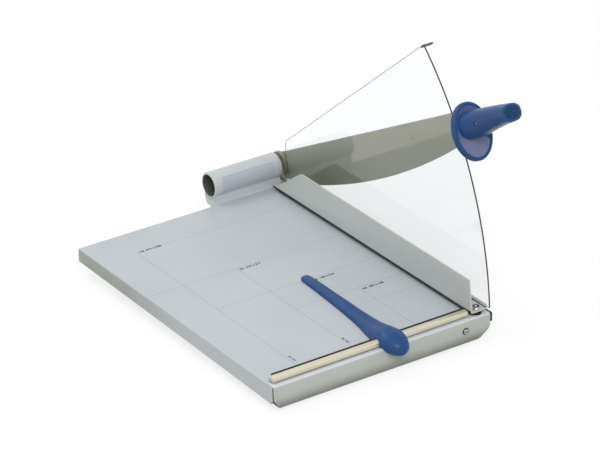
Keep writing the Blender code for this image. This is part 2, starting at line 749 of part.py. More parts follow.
ROOT = new_empty("paper_cutter")
BASE = new_empty("base", ROOT)
CLAMP = new_empty("clamp_slide", ROOT)
ARM = new_empty("arm_pivot", ROOT, (0, PIVOT_Y, PIVOT_HEIGHT), -ARM_REST_ANGLE)
GAUGE = new_empty("gauge_slide", ROOT)


def spring_well(name, front_or_rear, low, high, radius, carrier):
    """A round cutter at a guide pin."""
    place = (GUIDE_X, front_or_rear, 0)
    return add_cutter(name, rod_mesh(name, radius, low, high, ALONG_Z, place, ROUND_SIDES), carrier)


def guide_places():
    """The y places of the two guide pins, by name."""
    return (("front", GUIDE_FRONT_Y), ("rear", GUIDE_REAR_Y))


def rail_screw_places():
    """The x places of the rail screws."""
    length = RAIL_RIGHT_X - RAIL_LEFT_X
    return [RAIL_LEFT_X + length * share for share in RAIL_SCREW_PLACE_SHARES]


def table_plate():
    """The folded table: its top, the left and back skirts and a hem along them."""
    left = -TABLE_REACH_LEFT
    back = TABLE_REACH_BACK
    front = -TABLE_SEAM
    nose = FRONT_FACE_Y
    bm = bmesh.new()

    def vert(x, y, z):
        return bm.verts.new((x, y, z))

    top_left_front = vert(left, front, 0)
    top_left_back = vert(left, back, 0)
    top_right_front = vert(TABLE_RIGHT_X, front, 0)
    top_right_back = vert(TABLE_RIGHT_X, back, 0)
    bm.faces.new((top_left_front, top_right_front, top_right_back, top_left_back))
    nose_top = vert(left, nose, 0)
    nose_low = vert(left, nose, -SKIRT_CORNER_DROP)
    skirt_front = vert(left, nose + SKIRT_CORNER_RUN, -SKIRT_DEPTH_FRONT)
    skirt_hem_end = vert(left, back - HEM_WIDTH - SEAT_GAP, -SKIRT_DEPTH_BACK)
    skirt_back = vert(left, back, -SKIRT_DEPTH_BACK)
    bm.faces.new(
        (top_left_back, skirt_back, skirt_hem_end, skirt_front, nose_low, nose_top, top_left_front)
    )
    back_right = vert(TABLE_RIGHT_X, back, -SKIRT_DEPTH_BACK)
    bm.faces.new((top_right_back, back_right, skirt_back, top_left_back))
    hem_front = vert(left + HEM_WIDTH, nose + SKIRT_CORNER_RUN, -SKIRT_DEPTH_FRONT)
    hem_back = vert(left + HEM_WIDTH, back - HEM_WIDTH - SEAT_GAP, -SKIRT_DEPTH_BACK)
    bm.faces.new((skirt_front, skirt_hem_end, hem_back, hem_front))
    folds = []
    for edge in bm.edges:
        if len(edge.link_faces) == 2:
            folds.append(edge)
    bmesh.ops.bevel(
        bm, geom=folds, offset=TABLE_FOLD_RADIUS, offset_type="OFFSET", segments=3,
        profile=ROUND_PROFILE_SHARE, affect="EDGES",
    )
    bmesh.ops.recalc_face_normals(bm, faces=bm.faces)
    flat = max(bm.faces, key=lambda face: face.calc_area())
    if flat.normal.z < 0:
        bmesh.ops.reverse_faces(bm, faces=bm.faces)
    piece = add_piece("table_plate", mesh_from(bm, "table_plate", recalculate=False), "table_grey", BASE)
    wall = piece.modifiers.new("wall", "SOLIDIFY")
    wall.thickness = TABLE_SHEET
    wall.offset = -1
    wall.use_even_offset = True
    wall.use_quality_normals = True
    for name, place in guide_places():
        cutter = spring_well("table_well_" + name, place, -CUT_OVERRUN, CUT_OVERRUN,
                             GUIDE_CUP_RADIUS + SEAT_GAP, BASE)
        combine(piece, cutter)
    return piece


def front_channel():
    """The folded front sheet with its diagonal left cut and slanted right corner."""
    left = -TABLE_REACH_LEFT + TABLE_SHEET + SEAT_GAP
    right = TABLE_RIGHT_X
    path = (
        (0, -TABLE_SEAM - SEAT_GAP, 0),
        (0, FRONT_FACE_Y, 0),
        (0, FRONT_FACE_Y, -FRONT_DEPTH),
        (0, FRONT_FACE_Y + FRONT_FOOT_WIDTH, -FRONT_DEPTH),
    )
    bm = extruded_path(path, left, right, (1, 0, 0))
    fold_edges(bm, ((None, FRONT_FACE_Y, 0),), FRONT_TOP_RADIUS)
    fold_edges(bm, ((None, FRONT_FACE_Y, -FRONT_DEPTH),), FRONT_BOTTOM_RADIUS, 5)
    piece = folded_sheet("front_channel", bm, FRONT_SHEET, (0, -1, 1), "front_grey", BASE)
    low = -FRONT_DEPTH - CUT_OVERRUN
    near = FRONT_FACE_Y - CUT_OVERRUN
    far = FRONT_FACE_Y + FRONT_FOOT_WIDTH + CUT_OVERRUN
    slope = FRONT_LEFT_CUT_RUN / (FRONT_DEPTH - SKIRT_CORNER_DROP)
    left_cut = (
        (left - CUT_OVERRUN, -SKIRT_CORNER_DROP),
        (left - CUT_OVERRUN, low),
        (left + slope * (-SKIRT_CORNER_DROP - low), low),
        (left, -SKIRT_CORNER_DROP),
    )
    combine(piece, add_cutter("front_left_cut", mesh_from(front_plate(left_cut, near, far), "cut"), BASE))
    combine(piece, add_cutter("front_right_cut", mesh_from(right_corner_cut(near, far), "cut"), BASE))
    hole = rod_mesh("hole", FRONT_SCREW_SHANK_RADIUS + SEAT_GAP, -CUT_OVERRUN, CUT_OVERRUN, ALONG_Y,
                    (FRONT_SCREW_X, FRONT_FACE_Y, -FRONT_SCREW_DROP))
    combine(piece, add_cutter("front_screw_hole", hole, BASE))
    well = spring_well("front_well", GUIDE_FRONT_Y, -CUT_OVERRUN, CUT_OVERRUN,
                       GUIDE_CUP_RADIUS + SEAT_GAP, BASE)
    combine(piece, well)
    return piece


def right_corner_cut(near, far):
    """Everything below the rounded slant at the right end of the front sheet."""
    right = TABLE_RIGHT_X
    low = -FRONT_DEPTH
    start = (right - FRONT_CORNER_RUN, low)
    end = (right, low + FRONT_CORNER_RISE)
    edge = round_corner((-TABLE_REACH_LEFT, low), start, end, FRONT_CORNER_RADIUS)
    edge += round_corner(start, end, (right, 0), FRONT_CORNER_RADIUS)
    outline = edge + [
        (right + CUT_OVERRUN, edge[-1][1]),
        (right + CUT_OVERRUN, low - CUT_OVERRUN),
        (edge[0][0], low - CUT_OVERRUN),
    ]
    return front_plate(outline, near, far)


def side_beam():
    """The channel under the blade side, with its front end cut on a slant."""
    right = BEAM_RIGHT_X
    left = right - BEAM_WIDTH
    path = (
        (left, 0, BEAM_TOP_Z),
        (right, 0, BEAM_TOP_Z),
        (right, 0, BEAM_BOTTOM_Z),
        (right - BEAM_FOOT_WIDTH, 0, BEAM_BOTTOM_Z),
    )
    start = FRONT_FACE_Y + FRONT_TOP_RADIUS + SEAT_GAP
    end = TABLE_REACH_BACK - TABLE_SHEET - SEAT_GAP
    bm = extruded_path(path, start, end, (0, 1, 0))
    fold_edges(bm, ((right, None, BEAM_TOP_Z), (right, None, BEAM_BOTTOM_Z)), BEAM_FOLD_RADIUS, 2)
    piece = folded_sheet("side_beam", bm, BEAM_SHEET, (0, 0, 1), "front_grey", BASE)
    nose = (
        (start - CUT_OVERRUN, -BEAM_NOSE_DEPTH),
        (start, -BEAM_NOSE_DEPTH),
        (start + BEAM_NOSE_RUN, BEAM_BOTTOM_Z),
        (start + BEAM_NOSE_RUN, BEAM_BOTTOM_Z - CUT_OVERRUN),
        (start - CUT_OVERRUN, BEAM_BOTTOM_Z - CUT_OVERRUN),
    )
    cut = side_plate(nose, left - CUT_OVERRUN, right + CUT_OVERRUN)
    combine(piece, add_cutter("beam_nose_cut", mesh_from(cut, "cut"), BASE))
    for name, place in guide_places():
        hole = spring_well("beam_bush_" + name, place, BEAM_TOP_Z - CUT_OVERRUN, BEAM_TOP_Z + CUT_OVERRUN,
                           GUIDE_CUP_RADIUS + SEAT_GAP, BASE)
        combine(piece, hole)
    for index, place in enumerate(bed_screw_places(), 1):
        hole = rod_mesh("hole", BED_SCREW_SHANK_RADIUS + SEAT_GAP, -CUT_OVERRUN, CUT_OVERRUN, ALONG_X,
                        (right, place, -BED_SCREW_DROP))
        combine(piece, add_cutter("beam_screw_hole_%d" % index, hole, BASE))
    return piece


def front_bracket():
    """The angle behind the front sheet that ties it to the beam's top."""
    near = FRONT_BACK_Y + SEAT_GAP
    right = BRACKET_RIGHT_X
    left = right - BRACKET_WIDTH
    top = -FRONT_SHEET - SEAT_GAP
    low = -FRONT_SCREW_DROP - BRACKET_FOOT / 2
    path = ((0, near + BRACKET_FOOT, top), (0, near, top), (0, near, low))
    bm = extruded_path(path, left, right, (1, 0, 0))
    fold_edges(bm, ((None, near, top),), BRACKET_FOLD_RADIUS, 2)
    piece = folded_sheet("front_bracket", bm, BRACKET_SHEET, (0, -1, 1), "front_grey", BASE)
    hole = rod_mesh("hole", FRONT_SCREW_SHANK_RADIUS + SEAT_GAP, -CUT_OVERRUN, CUT_OVERRUN, ALONG_Y,
                    (FRONT_SCREW_X, near, -FRONT_SCREW_DROP))
    combine(piece, add_cutter("bracket_screw_hole", hole, BASE))
    return piece


def front_screw():
    """The slotted screw in the front sheet."""
    profile = headed_profile(FRONT_SCREW_HEAD_RADIUS, FRONT_SCREW_HEAD_HEIGHT, FRONT_SCREW_SHANK_RADIUS,
                             FRONT_SCREW_LENGTH)
    place = (FRONT_SCREW_X, FRONT_FACE_Y - SEAT_GAP, -FRONT_SCREW_DROP)
    mesh = turned_mesh("front_screw", profile, FACE_FRONT, place)
    piece = add_piece("front_screw", mesh, "zinc_steel", BASE)
    face = (place[0], place[1] - FRONT_SCREW_HEAD_HEIGHT, place[2])
    cut_slot(piece, "front_screw_slot", BASE, FRONT_SCREW_HEAD_RADIUS, FACE_FRONT, face)
    return piece


def cross_ribs():
    """Hat-section ribs that stiffen the table, with a foot under each end of two of them."""
    left = -TABLE_REACH_LEFT + TABLE_SHEET + HEM_WIDTH + RIB_INSET
    right = BRACKET_RIGHT_X
    half = RIB_WIDTH / 2
    for index, share in enumerate(RIB_PLACE_SHARES, 1):
        middle = TABLE_REACH_BACK * share
        path = (
            (0, middle - half - RIB_LIP, RIB_TOP_Z),
            (0, middle - half, RIB_TOP_Z),
            (0, middle - half + RIB_LIP / 2, RIB_BOTTOM_Z),
            (0, middle + half - RIB_LIP / 2, RIB_BOTTOM_Z),
            (0, middle + half, RIB_TOP_Z),
            (0, middle + half + RIB_LIP, RIB_TOP_Z),
        )
        bm = extruded_path(path, left, right, (1, 0, 0))
        folded_sheet("cross_rib_%d" % index, bm, RIB_SHEET, (0, 0, 1), "front_grey", BASE)


def feet():
    """Four rubber feet with a dimple for their screw."""
    left = -TABLE_REACH_LEFT + TABLE_SHEET + HEM_WIDTH + RIB_INSET + FOOT_INSET
    right = BEAM_RIGHT_X - BEAM_WIDTH - FOOT_INSET
    top = RIB_BOTTOM_Z - RIB_SHEET - SEAT_GAP
    profile = (
        (0, 0),
        (FOOT_TOP_RADIUS, 0),
        (FOOT_BOTTOM_RADIUS + FOOT_FILLET / 2, -FOOT_HEIGHT + FOOT_FILLET),
        (FOOT_BOTTOM_RADIUS - FOOT_FILLET / 2, -FOOT_HEIGHT),
        (FOOT_DIMPLE_RADIUS, -FOOT_HEIGHT),
        (FOOT_DIMPLE_RADIUS, -FOOT_HEIGHT + FOOT_DIMPLE_DEPTH),
        (0, -FOOT_HEIGHT + FOOT_DIMPLE_DEPTH),
    )
    ends = (RIB_PLACE_SHARES[0], RIB_PLACE_SHARES[-1])
    spots = [(x, TABLE_REACH_BACK * share) for share in ends for x in (left, right)]
    for index, (x, y) in enumerate(spots, 1):
        name = "foot_%d" % index
        mesh = turned_mesh(name, profile, ALONG_Z, (x, y, top), ROUND_SIDES // 2)
        add_piece(name, mesh, "black_rubber", BASE)


def bed_screw_places():
    """The y places of the fixed blade's screws."""
    length = TABLE_REACH_BACK + TABLE_REACH_FRONT
    return [FRONT_FACE_Y + length * share for share in BED_SCREW_PLACE_SHARES]


def fixed_blade():
    """The black bed knife, with its countersunk screws driven from the right."""
    mesh = box_mesh("fixed_blade", (-BED_THICKNESS, FRONT_FACE_Y, -BED_DEPTH), (0, TABLE_REACH_BACK, 0))
    piece = add_piece("fixed_blade", mesh, "black_steel", BASE)
    profile = sunk_profile(BED_SCREW_HEAD_RADIUS, BED_SCREW_SHANK_RADIUS, BED_SCREW_LENGTH)
    gap = SEAT_GAP
    seat = (
        (0, CUT_OVERRUN),
        (BED_SCREW_HEAD_RADIUS + gap, CUT_OVERRUN),
        (BED_SCREW_HEAD_RADIUS + gap, 0),
        (BED_SCREW_SHANK_RADIUS + gap, BED_SCREW_SHANK_RADIUS - BED_SCREW_HEAD_RADIUS),
        (BED_SCREW_SHANK_RADIUS + gap, -BED_SCREW_LENGTH - CUT_OVERRUN),
        (0, -BED_SCREW_LENGTH - CUT_OVERRUN),
    )
    seats = bmesh.new()
    for index, place in enumerate(bed_screw_places(), 1):
        name = "fixed_blade_screw_%d" % index
        spot = (-BED_SCREW_SINK, place, -BED_SCREW_DROP)
        seats.from_mesh(turned_mesh("seat", seat, ALONG_X, spot))
        screw = add_piece(name, turned_mesh(name, profile, ALONG_X, spot), "black_steel", BASE)
        cut_slot(screw, name + "_slot", BASE, BED_SCREW_HEAD_RADIUS, SIDE_PLANE, spot)
    combine(piece, add_cutter("fixed_blade_seats", mesh_from(seats, "seats"), BASE))
    return piece


def paper_rail():
    """The anodised rail, a crowned bar with a groove, and the rubber under and behind it."""
    groove_low = RAIL_BOTTOM_Z + RAIL_GROOVE_LEVEL
    groove_high = groove_low + RAIL_GROOVE_HEIGHT
    shoulder = RAIL_TOP_Z - RAIL_CROWN
    outline = [
        (RAIL_FRONT_Y, RAIL_BOTTOM_Z),
        (RAIL_BACK_Y, RAIL_BOTTOM_Z),
        (RAIL_BACK_Y, shoulder),
        (RAIL_BACK_Y - RAIL_CROWN / 2, RAIL_TOP_Z - RAIL_CROWN / 4),
        (RAIL_MIDDLE_Y, RAIL_TOP_Z),
        (RAIL_FRONT_Y + RAIL_CROWN, RAIL_TOP_Z - RAIL_CROWN / 4),
        (RAIL_FRONT_Y + RAIL_CROWN / 4, shoulder),
        (RAIL_FRONT_Y, shoulder - RAIL_CROWN / 2),
        (RAIL_FRONT_Y, groove_high),
        (RAIL_FRONT_Y + RAIL_GROOVE_DEPTH, groove_high),
        (RAIL_FRONT_Y + RAIL_GROOVE_DEPTH, groove_low),
        (RAIL_FRONT_Y, groove_low),
    ]
    mesh = mesh_from(side_plate(outline, RAIL_LEFT_X, RAIL_RIGHT_X), "paper_rail")
    piece = add_piece("paper_rail", mesh, "champagne", BASE)
    low = SEAT_GAP
    high = SEAT_GAP + GASKET_HEIGHT
    angle = [
        (GASKET_FRONT_Y, low),
        (0, low),
        (0, GASKET_TOP_Z),
        (-GASKET_STRIP_THICKNESS, GASKET_TOP_Z),
        (-GASKET_STRIP_THICKNESS, high),
        (GASKET_FRONT_Y, high),
    ]
    mesh = mesh_from(side_plate(angle, RAIL_LEFT_X + GASKET_INSET, RAIL_RIGHT_X), "rail_gasket")
    gasket = add_piece("rail_gasket", mesh, "black_rubber", BASE)
    return piece, gasket


def rail_screws(rail, gasket, channel):
    """Screws from below that hold the rail down through the front sheet's top flange."""
    under = -FRONT_SHEET - SEAT_GAP
    middle = (-TABLE_SEAM + RAIL_FRONT_Y) / 2
    profile = headed_profile(RAIL_SCREW_HEAD_RADIUS, RAIL_SCREW_HEAD_HEIGHT, RAIL_SCREW_SHANK_RADIUS,
                             RAIL_BOTTOM_Z - under + RAIL_SCREW_DEPTH)
    for index, x in enumerate(rail_screw_places(), 1):
        name = "rail_screw_%d" % index
        add_piece(name, turned_mesh(name, profile, UPSIDE_DOWN, (x, middle, under)), "zinc_steel", BASE)
        hole = rod_mesh("hole", RAIL_SCREW_SHANK_RADIUS + SEAT_GAP, under - CUT_OVERRUN,
                        RAIL_BOTTOM_Z + RAIL_SCREW_DEPTH + SEAT_GAP, ALONG_Z, (x, middle, 0))
        cutter = add_cutter(name + "_hole", hole, BASE)
        for piece in (rail, gasket, channel):
            combine(piece, cutter)


def housing_saddle():
    """The saddle's outline in y and z: a flange behind the back skirt and a shelf under the tube."""
    front = TABLE_REACH_BACK + SEAT_GAP
    back = front + HOUSING_SADDLE_THICKNESS
    shelf_back = front + HOUSING_SHELF_REACH
    low = -HOUSING_SADDLE_DROP
    shelf_low = -HOUSING_SHELF_DROP
    wall_middle = (HOUSING_RADIUS + HOUSING_BORE) / 2
    seat = arc((PIVOT_Y, PIVOT_HEIGHT), wall_middle, -SADDLE_BACK_ANGLE, -math.pi + SADDLE_FRONT_ANGLE)
    corner = (shelf_back, shelf_low)
    shelf_edge = round_corner((back, shelf_low), corner, seat[0], HOUSING_SHELF_RADIUS)
    return [(front, low), (back, low), (back, shelf_low)] + shelf_edge + seat + [(front, 0)]


def pivot_housing():
    """The tube for the arm's shaft with its saddle, bore and bare label recess."""
    rim = HOUSING_RIM
    middle = rim * ROUND_MIDDLE_SHARE
    left = -HOUSING_LEFT
    right = -HOUSING_RIGHT
    profile = (
        (HOUSING_BORE, right),
        (HOUSING_RADIUS - rim, right),
        (HOUSING_RADIUS - middle, right - middle),
        (HOUSING_RADIUS, right - rim),
        (HOUSING_RADIUS, left + rim),
        (HOUSING_RADIUS - middle, left + middle),
        (HOUSING_RADIUS - rim, left),
        (HOUSING_BORE, left),
    )
    centre = (0, PIVOT_Y, PIVOT_HEIGHT)
    mesh = turned_mesh("pivot_housing", profile, ALONG_X, centre, ROUND_SIDES)
    piece = add_piece("pivot_housing", mesh, "housing_grey", BASE)
    saddle = side_plate(housing_saddle(), left + rim, right - rim)
    combine(piece, add_cutter("housing_saddle", mesh_from(saddle, "saddle"), BASE), "UNION")
    floor = HOUSING_RADIUS - LABEL_DEPTH
    cover = HOUSING_RADIUS + CUT_OVERRUN
    low = math.pi - LABEL_LOW_ANGLE
    high = math.pi - LABEL_HIGH_ANGLE
    axis = (PIVOT_Y, PIVOT_HEIGHT)
    label = arc(axis, floor, low, high) + arc(axis, cover, high, low)
    recess = side_plate(label, left + LABEL_INSET_LEFT, right - LABEL_INSET_RIGHT)
    combine(piece, add_cutter("label_recess", mesh_from(recess, "label"), BASE))
    return piece


def housing_bolts(housing, table):
    """Bolts through the saddle's flange into the back skirt."""
    head_y = TABLE_REACH_BACK + SEAT_GAP + HOUSING_SADDLE_THICKNESS + SEAT_GAP
    profile = headed_profile(HOUSING_BOLT_HEAD_RADIUS, HOUSING_BOLT_HEAD_HEIGHT, HOUSING_BOLT_SHANK_RADIUS,
                             HOUSING_BOLT_LENGTH)
    length = HOUSING_LEFT - HOUSING_RIGHT
    for index, share in enumerate(HOUSING_BOLT_PLACE_SHARES, 1):
        name = "housing_bolt_%d" % index
        spot = (-HOUSING_LEFT + length * share, head_y, -HOUSING_BOLT_DROP)
        bolt = add_piece(name, turned_mesh(name, profile, ALONG_Y, spot), "zinc_steel", BASE)
        socket_radius = HOUSING_BOLT_HEAD_RADIUS / 2
        socket = turned_mesh("socket", (
            (0, HOUSING_BOLT_HEAD_HEIGHT + CUT_OVERRUN),
            (socket_radius, HOUSING_BOLT_HEAD_HEIGHT + CUT_OVERRUN),
            (socket_radius, HOUSING_BOLT_HEAD_HEIGHT / 2),
            (0, HOUSING_BOLT_HEAD_HEIGHT / 2),
        ), ALONG_Y, spot, 6)
        combine(bolt, add_cutter(name + "_socket", socket, BASE))
        hole = rod_mesh("hole", HOUSING_BOLT_SHANK_RADIUS + SEAT_GAP, -HOUSING_BOLT_LENGTH - CUT_OVERRUN,
                        CUT_OVERRUN, ALONG_Y, spot)
        cutter = add_cutter(name + "_hole", hole, BASE)
        combine(housing, cutter)
        combine(table, cutter)


def shaft_parts():
    """The pivot shaft and what runs on it inside the housing."""
    centre = (0, PIVOT_Y, PIVOT_HEIGHT)
    origin = (0, 0, 0)
    running = SHAFT_RADIUS + RUNNING_GAP
    bore = HOUSING_BORE - SEAT_GAP
    right = -HOUSING_RIGHT - SEAT_GAP
    bush_left = right - BUSH_RIGHT_LENGTH
    end_bush_left = -HOUSING_LEFT + BUSH_LEFT_INSET
    end_bush_right = end_bush_left + BUSH_LEFT_LENGTH
    nut_left = end_bush_right + NUT_PLAY
    nut_right = nut_left + NUT_LENGTH
    washer_left = nut_right + SEAT_GAP
    washer_right = washer_left + WASHER_THICKNESS
    spring_left = washer_right + SEAT_GAP + SPRING_WIRE_RADIUS
    spring_right = bush_left - SEAT_GAP - SPRING_WIRE_RADIUS
    shaft_left = -HOUSING_LEFT + SHAFT_INSET
    add_piece("bush_right", ring_mesh("bush_right", bore, running, bush_left, right, ALONG_X, centre,
                                      ROUND_SIDES), "bronze", BASE)
    add_piece("bush_left", ring_mesh("bush_left", bore, running, end_bush_left, end_bush_right, ALONG_X,
                                     centre, ROUND_SIDES), "bronze", BASE)
    coil = coil_curve("pivot_spring", SPRING_COIL_RADIUS, SPRING_WIRE_RADIUS, spring_left, spring_right,
                      SPRING_TURNS, ALONG_X, centre)
    add_piece("pivot_spring", coil, "zinc_steel", BASE)
    chamfer = SHAFT_CHAMFER
    shaft_right = BAR_RIGHT_X + BAR_BOSS_HEIGHT + SEAT_GAP + HUB_NUT_LENGTH - HUB_NUT_DOME
    shaft = (
        (0, shaft_right),
        (SHAFT_RADIUS - chamfer, shaft_right),
        (SHAFT_RADIUS, shaft_right - chamfer),
        (SHAFT_RADIUS, shaft_left + chamfer),
        (SHAFT_RADIUS - chamfer, shaft_left),
        (0, shaft_left),
    )
    mesh = turned_mesh("pivot_shaft", shaft, ALONG_X, origin, ROUND_SIDES)
    add_piece("pivot_shaft", mesh, "zinc_steel", ARM)
    add_piece("spring_washer", ring_mesh("spring_washer", WASHER_RADIUS, running, washer_left, washer_right,
                                         ALONG_X, origin, ROUND_SIDES), "zinc_steel", ARM)
    add_piece("lock_nut", ring_mesh("lock_nut", NUT_RADIUS, running, nut_left, nut_right, ALONG_X, origin,
                                    6), "zinc_steel", ARM)
    combine_round_bore("lock_nut", nut_left, nut_right)
    add_piece("thrust_washer", ring_mesh("thrust_washer", THRUST_WASHER_RADIUS, running,
                                         CAM_RIGHT_X + SEAT_GAP, BLADE_LEFT_X - SEAT_GAP, ALONG_X, origin,
                                         ROUND_SIDES), "polished_steel", ARM)
    nut_start = BAR_RIGHT_X + BAR_BOSS_HEIGHT + SEAT_GAP
    nut_end = nut_start + HUB_NUT_LENGTH
    hub_nut = (
        (0, nut_end + HUB_NUT_DOME),
        (HUB_NUT_RADIUS / 2, nut_end + HUB_NUT_DOME / 2),
        (HUB_NUT_RADIUS, nut_end),
        (HUB_NUT_RADIUS, nut_start),
        (0, nut_start),
    )
    nut = add_piece("hub_nut", turned_mesh("hub_nut", hub_nut, ALONG_X, origin, 6), "zinc_steel", ARM)
    socket = rod_mesh("bore", running, nut_start - CUT_OVERRUN, shaft_right + SEAT_GAP, ALONG_X, origin,
                      ROUND_SIDES)
    combine(nut, add_cutter("hub_nut_bore", socket, ARM))


def combine_round_bore(name, start, end):
    """Opens a round bore in a six-sided nut on the shaft."""
    bore = rod_mesh("bore", SHAFT_RADIUS + RUNNING_GAP, start - CUT_OVERRUN, end + CUT_OVERRUN, ALONG_X,
                    (0, 0, 0), ROUND_SIDES)
    combine(bpy.data.objects[name], add_cutter(name + "_bore", bore, ARM))


def clamp_cam():
    """A hub with an involute nose, which drives a flat follower in step with the arm."""
    start = ARM_HIGH_ANGLE
    end = ARM_LOW_ANGLE - CAM_OVERSWING
    nose = [(CAM_HUB_RADIUS / 3, -CAM_HUB_RADIUS * CAM_ROOT_SHARE)]
    for step in range(CURVE_STEPS + 1):
        angle = start + (end - start) * step / CURVE_STEPS
        distance = CAM_REST_DISTANCE + CAM_RISE * (ARM_REST_ANGLE - angle)
        away = Vector((math.sin(angle), -math.cos(angle)))
        along = Vector((math.cos(angle), math.sin(angle)))
        nose.append(tuple(distance * away - CAM_RISE * along))
    nose.append((-CAM_HUB_RADIUS * CAM_ROOT_SHARE, -CAM_HUB_RADIUS / 3))
    hub = rod_mesh("clamp_cam", CAM_HUB_RADIUS, CAM_LEFT_X, CAM_RIGHT_X, ALONG_X, (0, 0, 0), ROUND_SIDES)
    piece = add_piece("clamp_cam", hub, "polished_steel", ARM)
    lobe = side_plate(nose, CAM_LEFT_X, CAM_RIGHT_X)
    combine(piece, add_cutter("cam_nose", mesh_from(lobe, "nose"), ARM), "UNION")
    bore = rod_mesh("bore", SHAFT_RADIUS + RUNNING_GAP, CAM_LEFT_X - CUT_OVERRUN, CAM_RIGHT_X + CUT_OVERRUN,
                    ALONG_X, (0, 0, 0), ROUND_SIDES)
    combine(piece, add_cutter("cam_bore", bore, ARM))
    return piece


def blade_depth(reach):
    """The cutting edge's depth below the top edge: one large arc through its crest and tip."""
    crest = GUARD_REACH * BLADE_CREST_SHARE
    run = GUARD_REACH - crest
    rise = BLADE_DEPTH - BLADE_TIP_DEPTH
    radius = (run ** 2 + rise ** 2) / (2 * rise)
    return BLADE_DEPTH - radius + math.sqrt(radius ** 2 - (reach - crest) ** 2)


def blade():
    """The moving blade: a rounded root, a straight back and a bellied, bevelled edge."""
    end = GUARD_REACH - SEAT_GAP
    start = math.pi / 2 - math.acos(BLADE_TOP / BLADE_ROOT_RADIUS)
    outline = [(-end, BLADE_TOP)]
    outline += arc((0, 0), BLADE_ROOT_RADIUS, start, BLADE_ROOT_END)
    heel_low = BLADE_TOP - blade_depth(BLADE_HEEL)
    outline.append((-BLADE_HEEL + BLADE_HEEL_RUN, heel_low + BLADE_HEEL_RISE))
    steps = 2 * CURVE_STEPS
    for step in range(steps + 1):
        reach = BLADE_HEEL + (end - BLADE_HEEL) * step / steps
        outline.append((-reach, BLADE_TOP - blade_depth(reach)))
    bm = side_plate(outline, BLADE_LEFT_X, BLADE_RIGHT_X)
    keen = []
    for edge in bm.edges:
        right_side = all(abs(vert.co.x - BLADE_RIGHT_X) < WELD for vert in edge.verts)
        sharp = all(vert.co.y < -BLADE_HEEL + WELD and vert.co.z < 0 for vert in edge.verts)
        level = abs(edge.verts[0].co.y - edge.verts[1].co.y) > WELD
        if right_side and sharp and level:
            keen.append(edge)
    bmesh.ops.bevel(
        bm, geom=keen, offset=BLADE_BEVEL, offset_type="OFFSET", segments=1,
        profile=ROUND_PROFILE_SHARE, affect="EDGES",
    )
    piece = add_piece("blade", mesh_from(bm, "blade"), "polished_steel", ARM)
    bore = rod_mesh("bore", SHAFT_RADIUS + RUNNING_GAP, BLADE_LEFT_X - CUT_OVERRUN,
                    BLADE_RIGHT_X + CUT_OVERRUN, ALONG_X, (0, 0, 0), ROUND_SIDES)
    combine(piece, add_cutter("blade_bore", bore, ARM))
    return piece


def arm_bar():
    """The alloy bar behind the blade, from the hub into the handle."""
    end = GUARD_REACH + GUARD_THICKNESS + HANDLE_POCKET_DEPTH - SEAT_GAP
    root = BAR_HUB_RADIUS * 2
    outline = arc((0, 0), BAR_HUB_RADIUS, BAR_HUB_ANGLE, -BAR_HUB_ANGLE)
    outline += [
        (-root, -BAR_ROOT_HALF_HEIGHT),
        (-GUARD_REACH, -BAR_TIP_HALF_HEIGHT - BAR_TIP_DROP),
        (-end, -BAR_TIP_HALF_HEIGHT - BAR_TIP_DROP),
        (-end, BAR_TIP_HALF_HEIGHT - BAR_TIP_DROP),
        (-GUARD_REACH, BAR_TIP_HALF_HEIGHT - BAR_TIP_DROP),
        (-root, BAR_ROOT_HALF_HEIGHT),
    ]
    mesh = mesh_from(side_plate(outline, BAR_LEFT_X, BAR_RIGHT_X), "arm_bar")
    piece = add_piece("arm_bar", mesh, "alloy", ARM)
    add_bevel(piece, BAR_EDGE)
    boss = rod_mesh("boss", BAR_HUB_RADIUS - BAR_EDGE, BAR_RIGHT_X - BAR_THICKNESS / 2,
                    BAR_RIGHT_X + BAR_BOSS_HEIGHT, ALONG_X, (0, 0, 0), ROUND_SIDES)
    combine(piece, add_cutter("bar_boss", boss, ARM), "UNION")
    bore = rod_mesh("bore", SHAFT_RADIUS + RUNNING_GAP, BAR_LEFT_X - CUT_OVERRUN,
                    BAR_RIGHT_X + BAR_BOSS_HEIGHT + CUT_OVERRUN, ALONG_X, (0, 0, 0), ROUND_SIDES)
    combine(piece, add_cutter("bar_bore", bore, ARM))
    return piece


def blade_screws(blade_piece, bar):
    """Two countersunk screws that hold the blade to the bar."""
    length = BLADE_THICKNESS + SEAT_GAP + BAR_THICKNESS
    head = BLADE_SCREW_HEAD_RADIUS
    shank = BLADE_SCREW_SHANK_RADIUS
    profile = (
        (0, 0),
        (head, 0),
        (shank, -BLADE_SCREW_HEAD_HEIGHT),
        (shank, -length),
        (0, -length),
    )
    gap = SEAT_GAP
    seat = (
        (0, CUT_OVERRUN),
        (head + gap, CUT_OVERRUN),
        (head + gap, -gap),
        (shank + gap, -BLADE_SCREW_HEAD_HEIGHT - gap),
        (shank + gap, -length - CUT_OVERRUN),
        (0, -length - CUT_OVERRUN),
    )
    for index, (share, depth) in enumerate(zip(BLADE_SCREW_PLACE_SHARES, BLADE_SCREW_DEPTHS), 1):
        name = "blade_screw_%d" % index
        spot = (BLADE_LEFT_X, -GUARD_REACH * share, BLADE_TOP - depth)
        screw = add_piece(name, turned_mesh(name, profile, FACE_LEFT, spot), "zinc_steel", ARM)
        cut_slot(screw, name + "_slot", ARM, head, FACE_LEFT, spot)
        cutter = add_cutter(name + "_seat", turned_mesh("seat", seat, FACE_LEFT, spot), ARM)
        combine(blade_piece, cutter)
        combine(bar, cutter)


def bar_pocket(name, near, far, gap):
    """The space for the bar inside the guard and the handle."""
    low = (BAR_LEFT_X - gap, -far, -BAR_TIP_HALF_HEIGHT - BAR_TIP_DROP - gap)
    high = (BAR_RIGHT_X + gap, -near, BAR_TIP_HALF_HEIGHT - BAR_TIP_DROP + gap)
    return add_cutter(name, box_mesh(name, low, high), ARM)


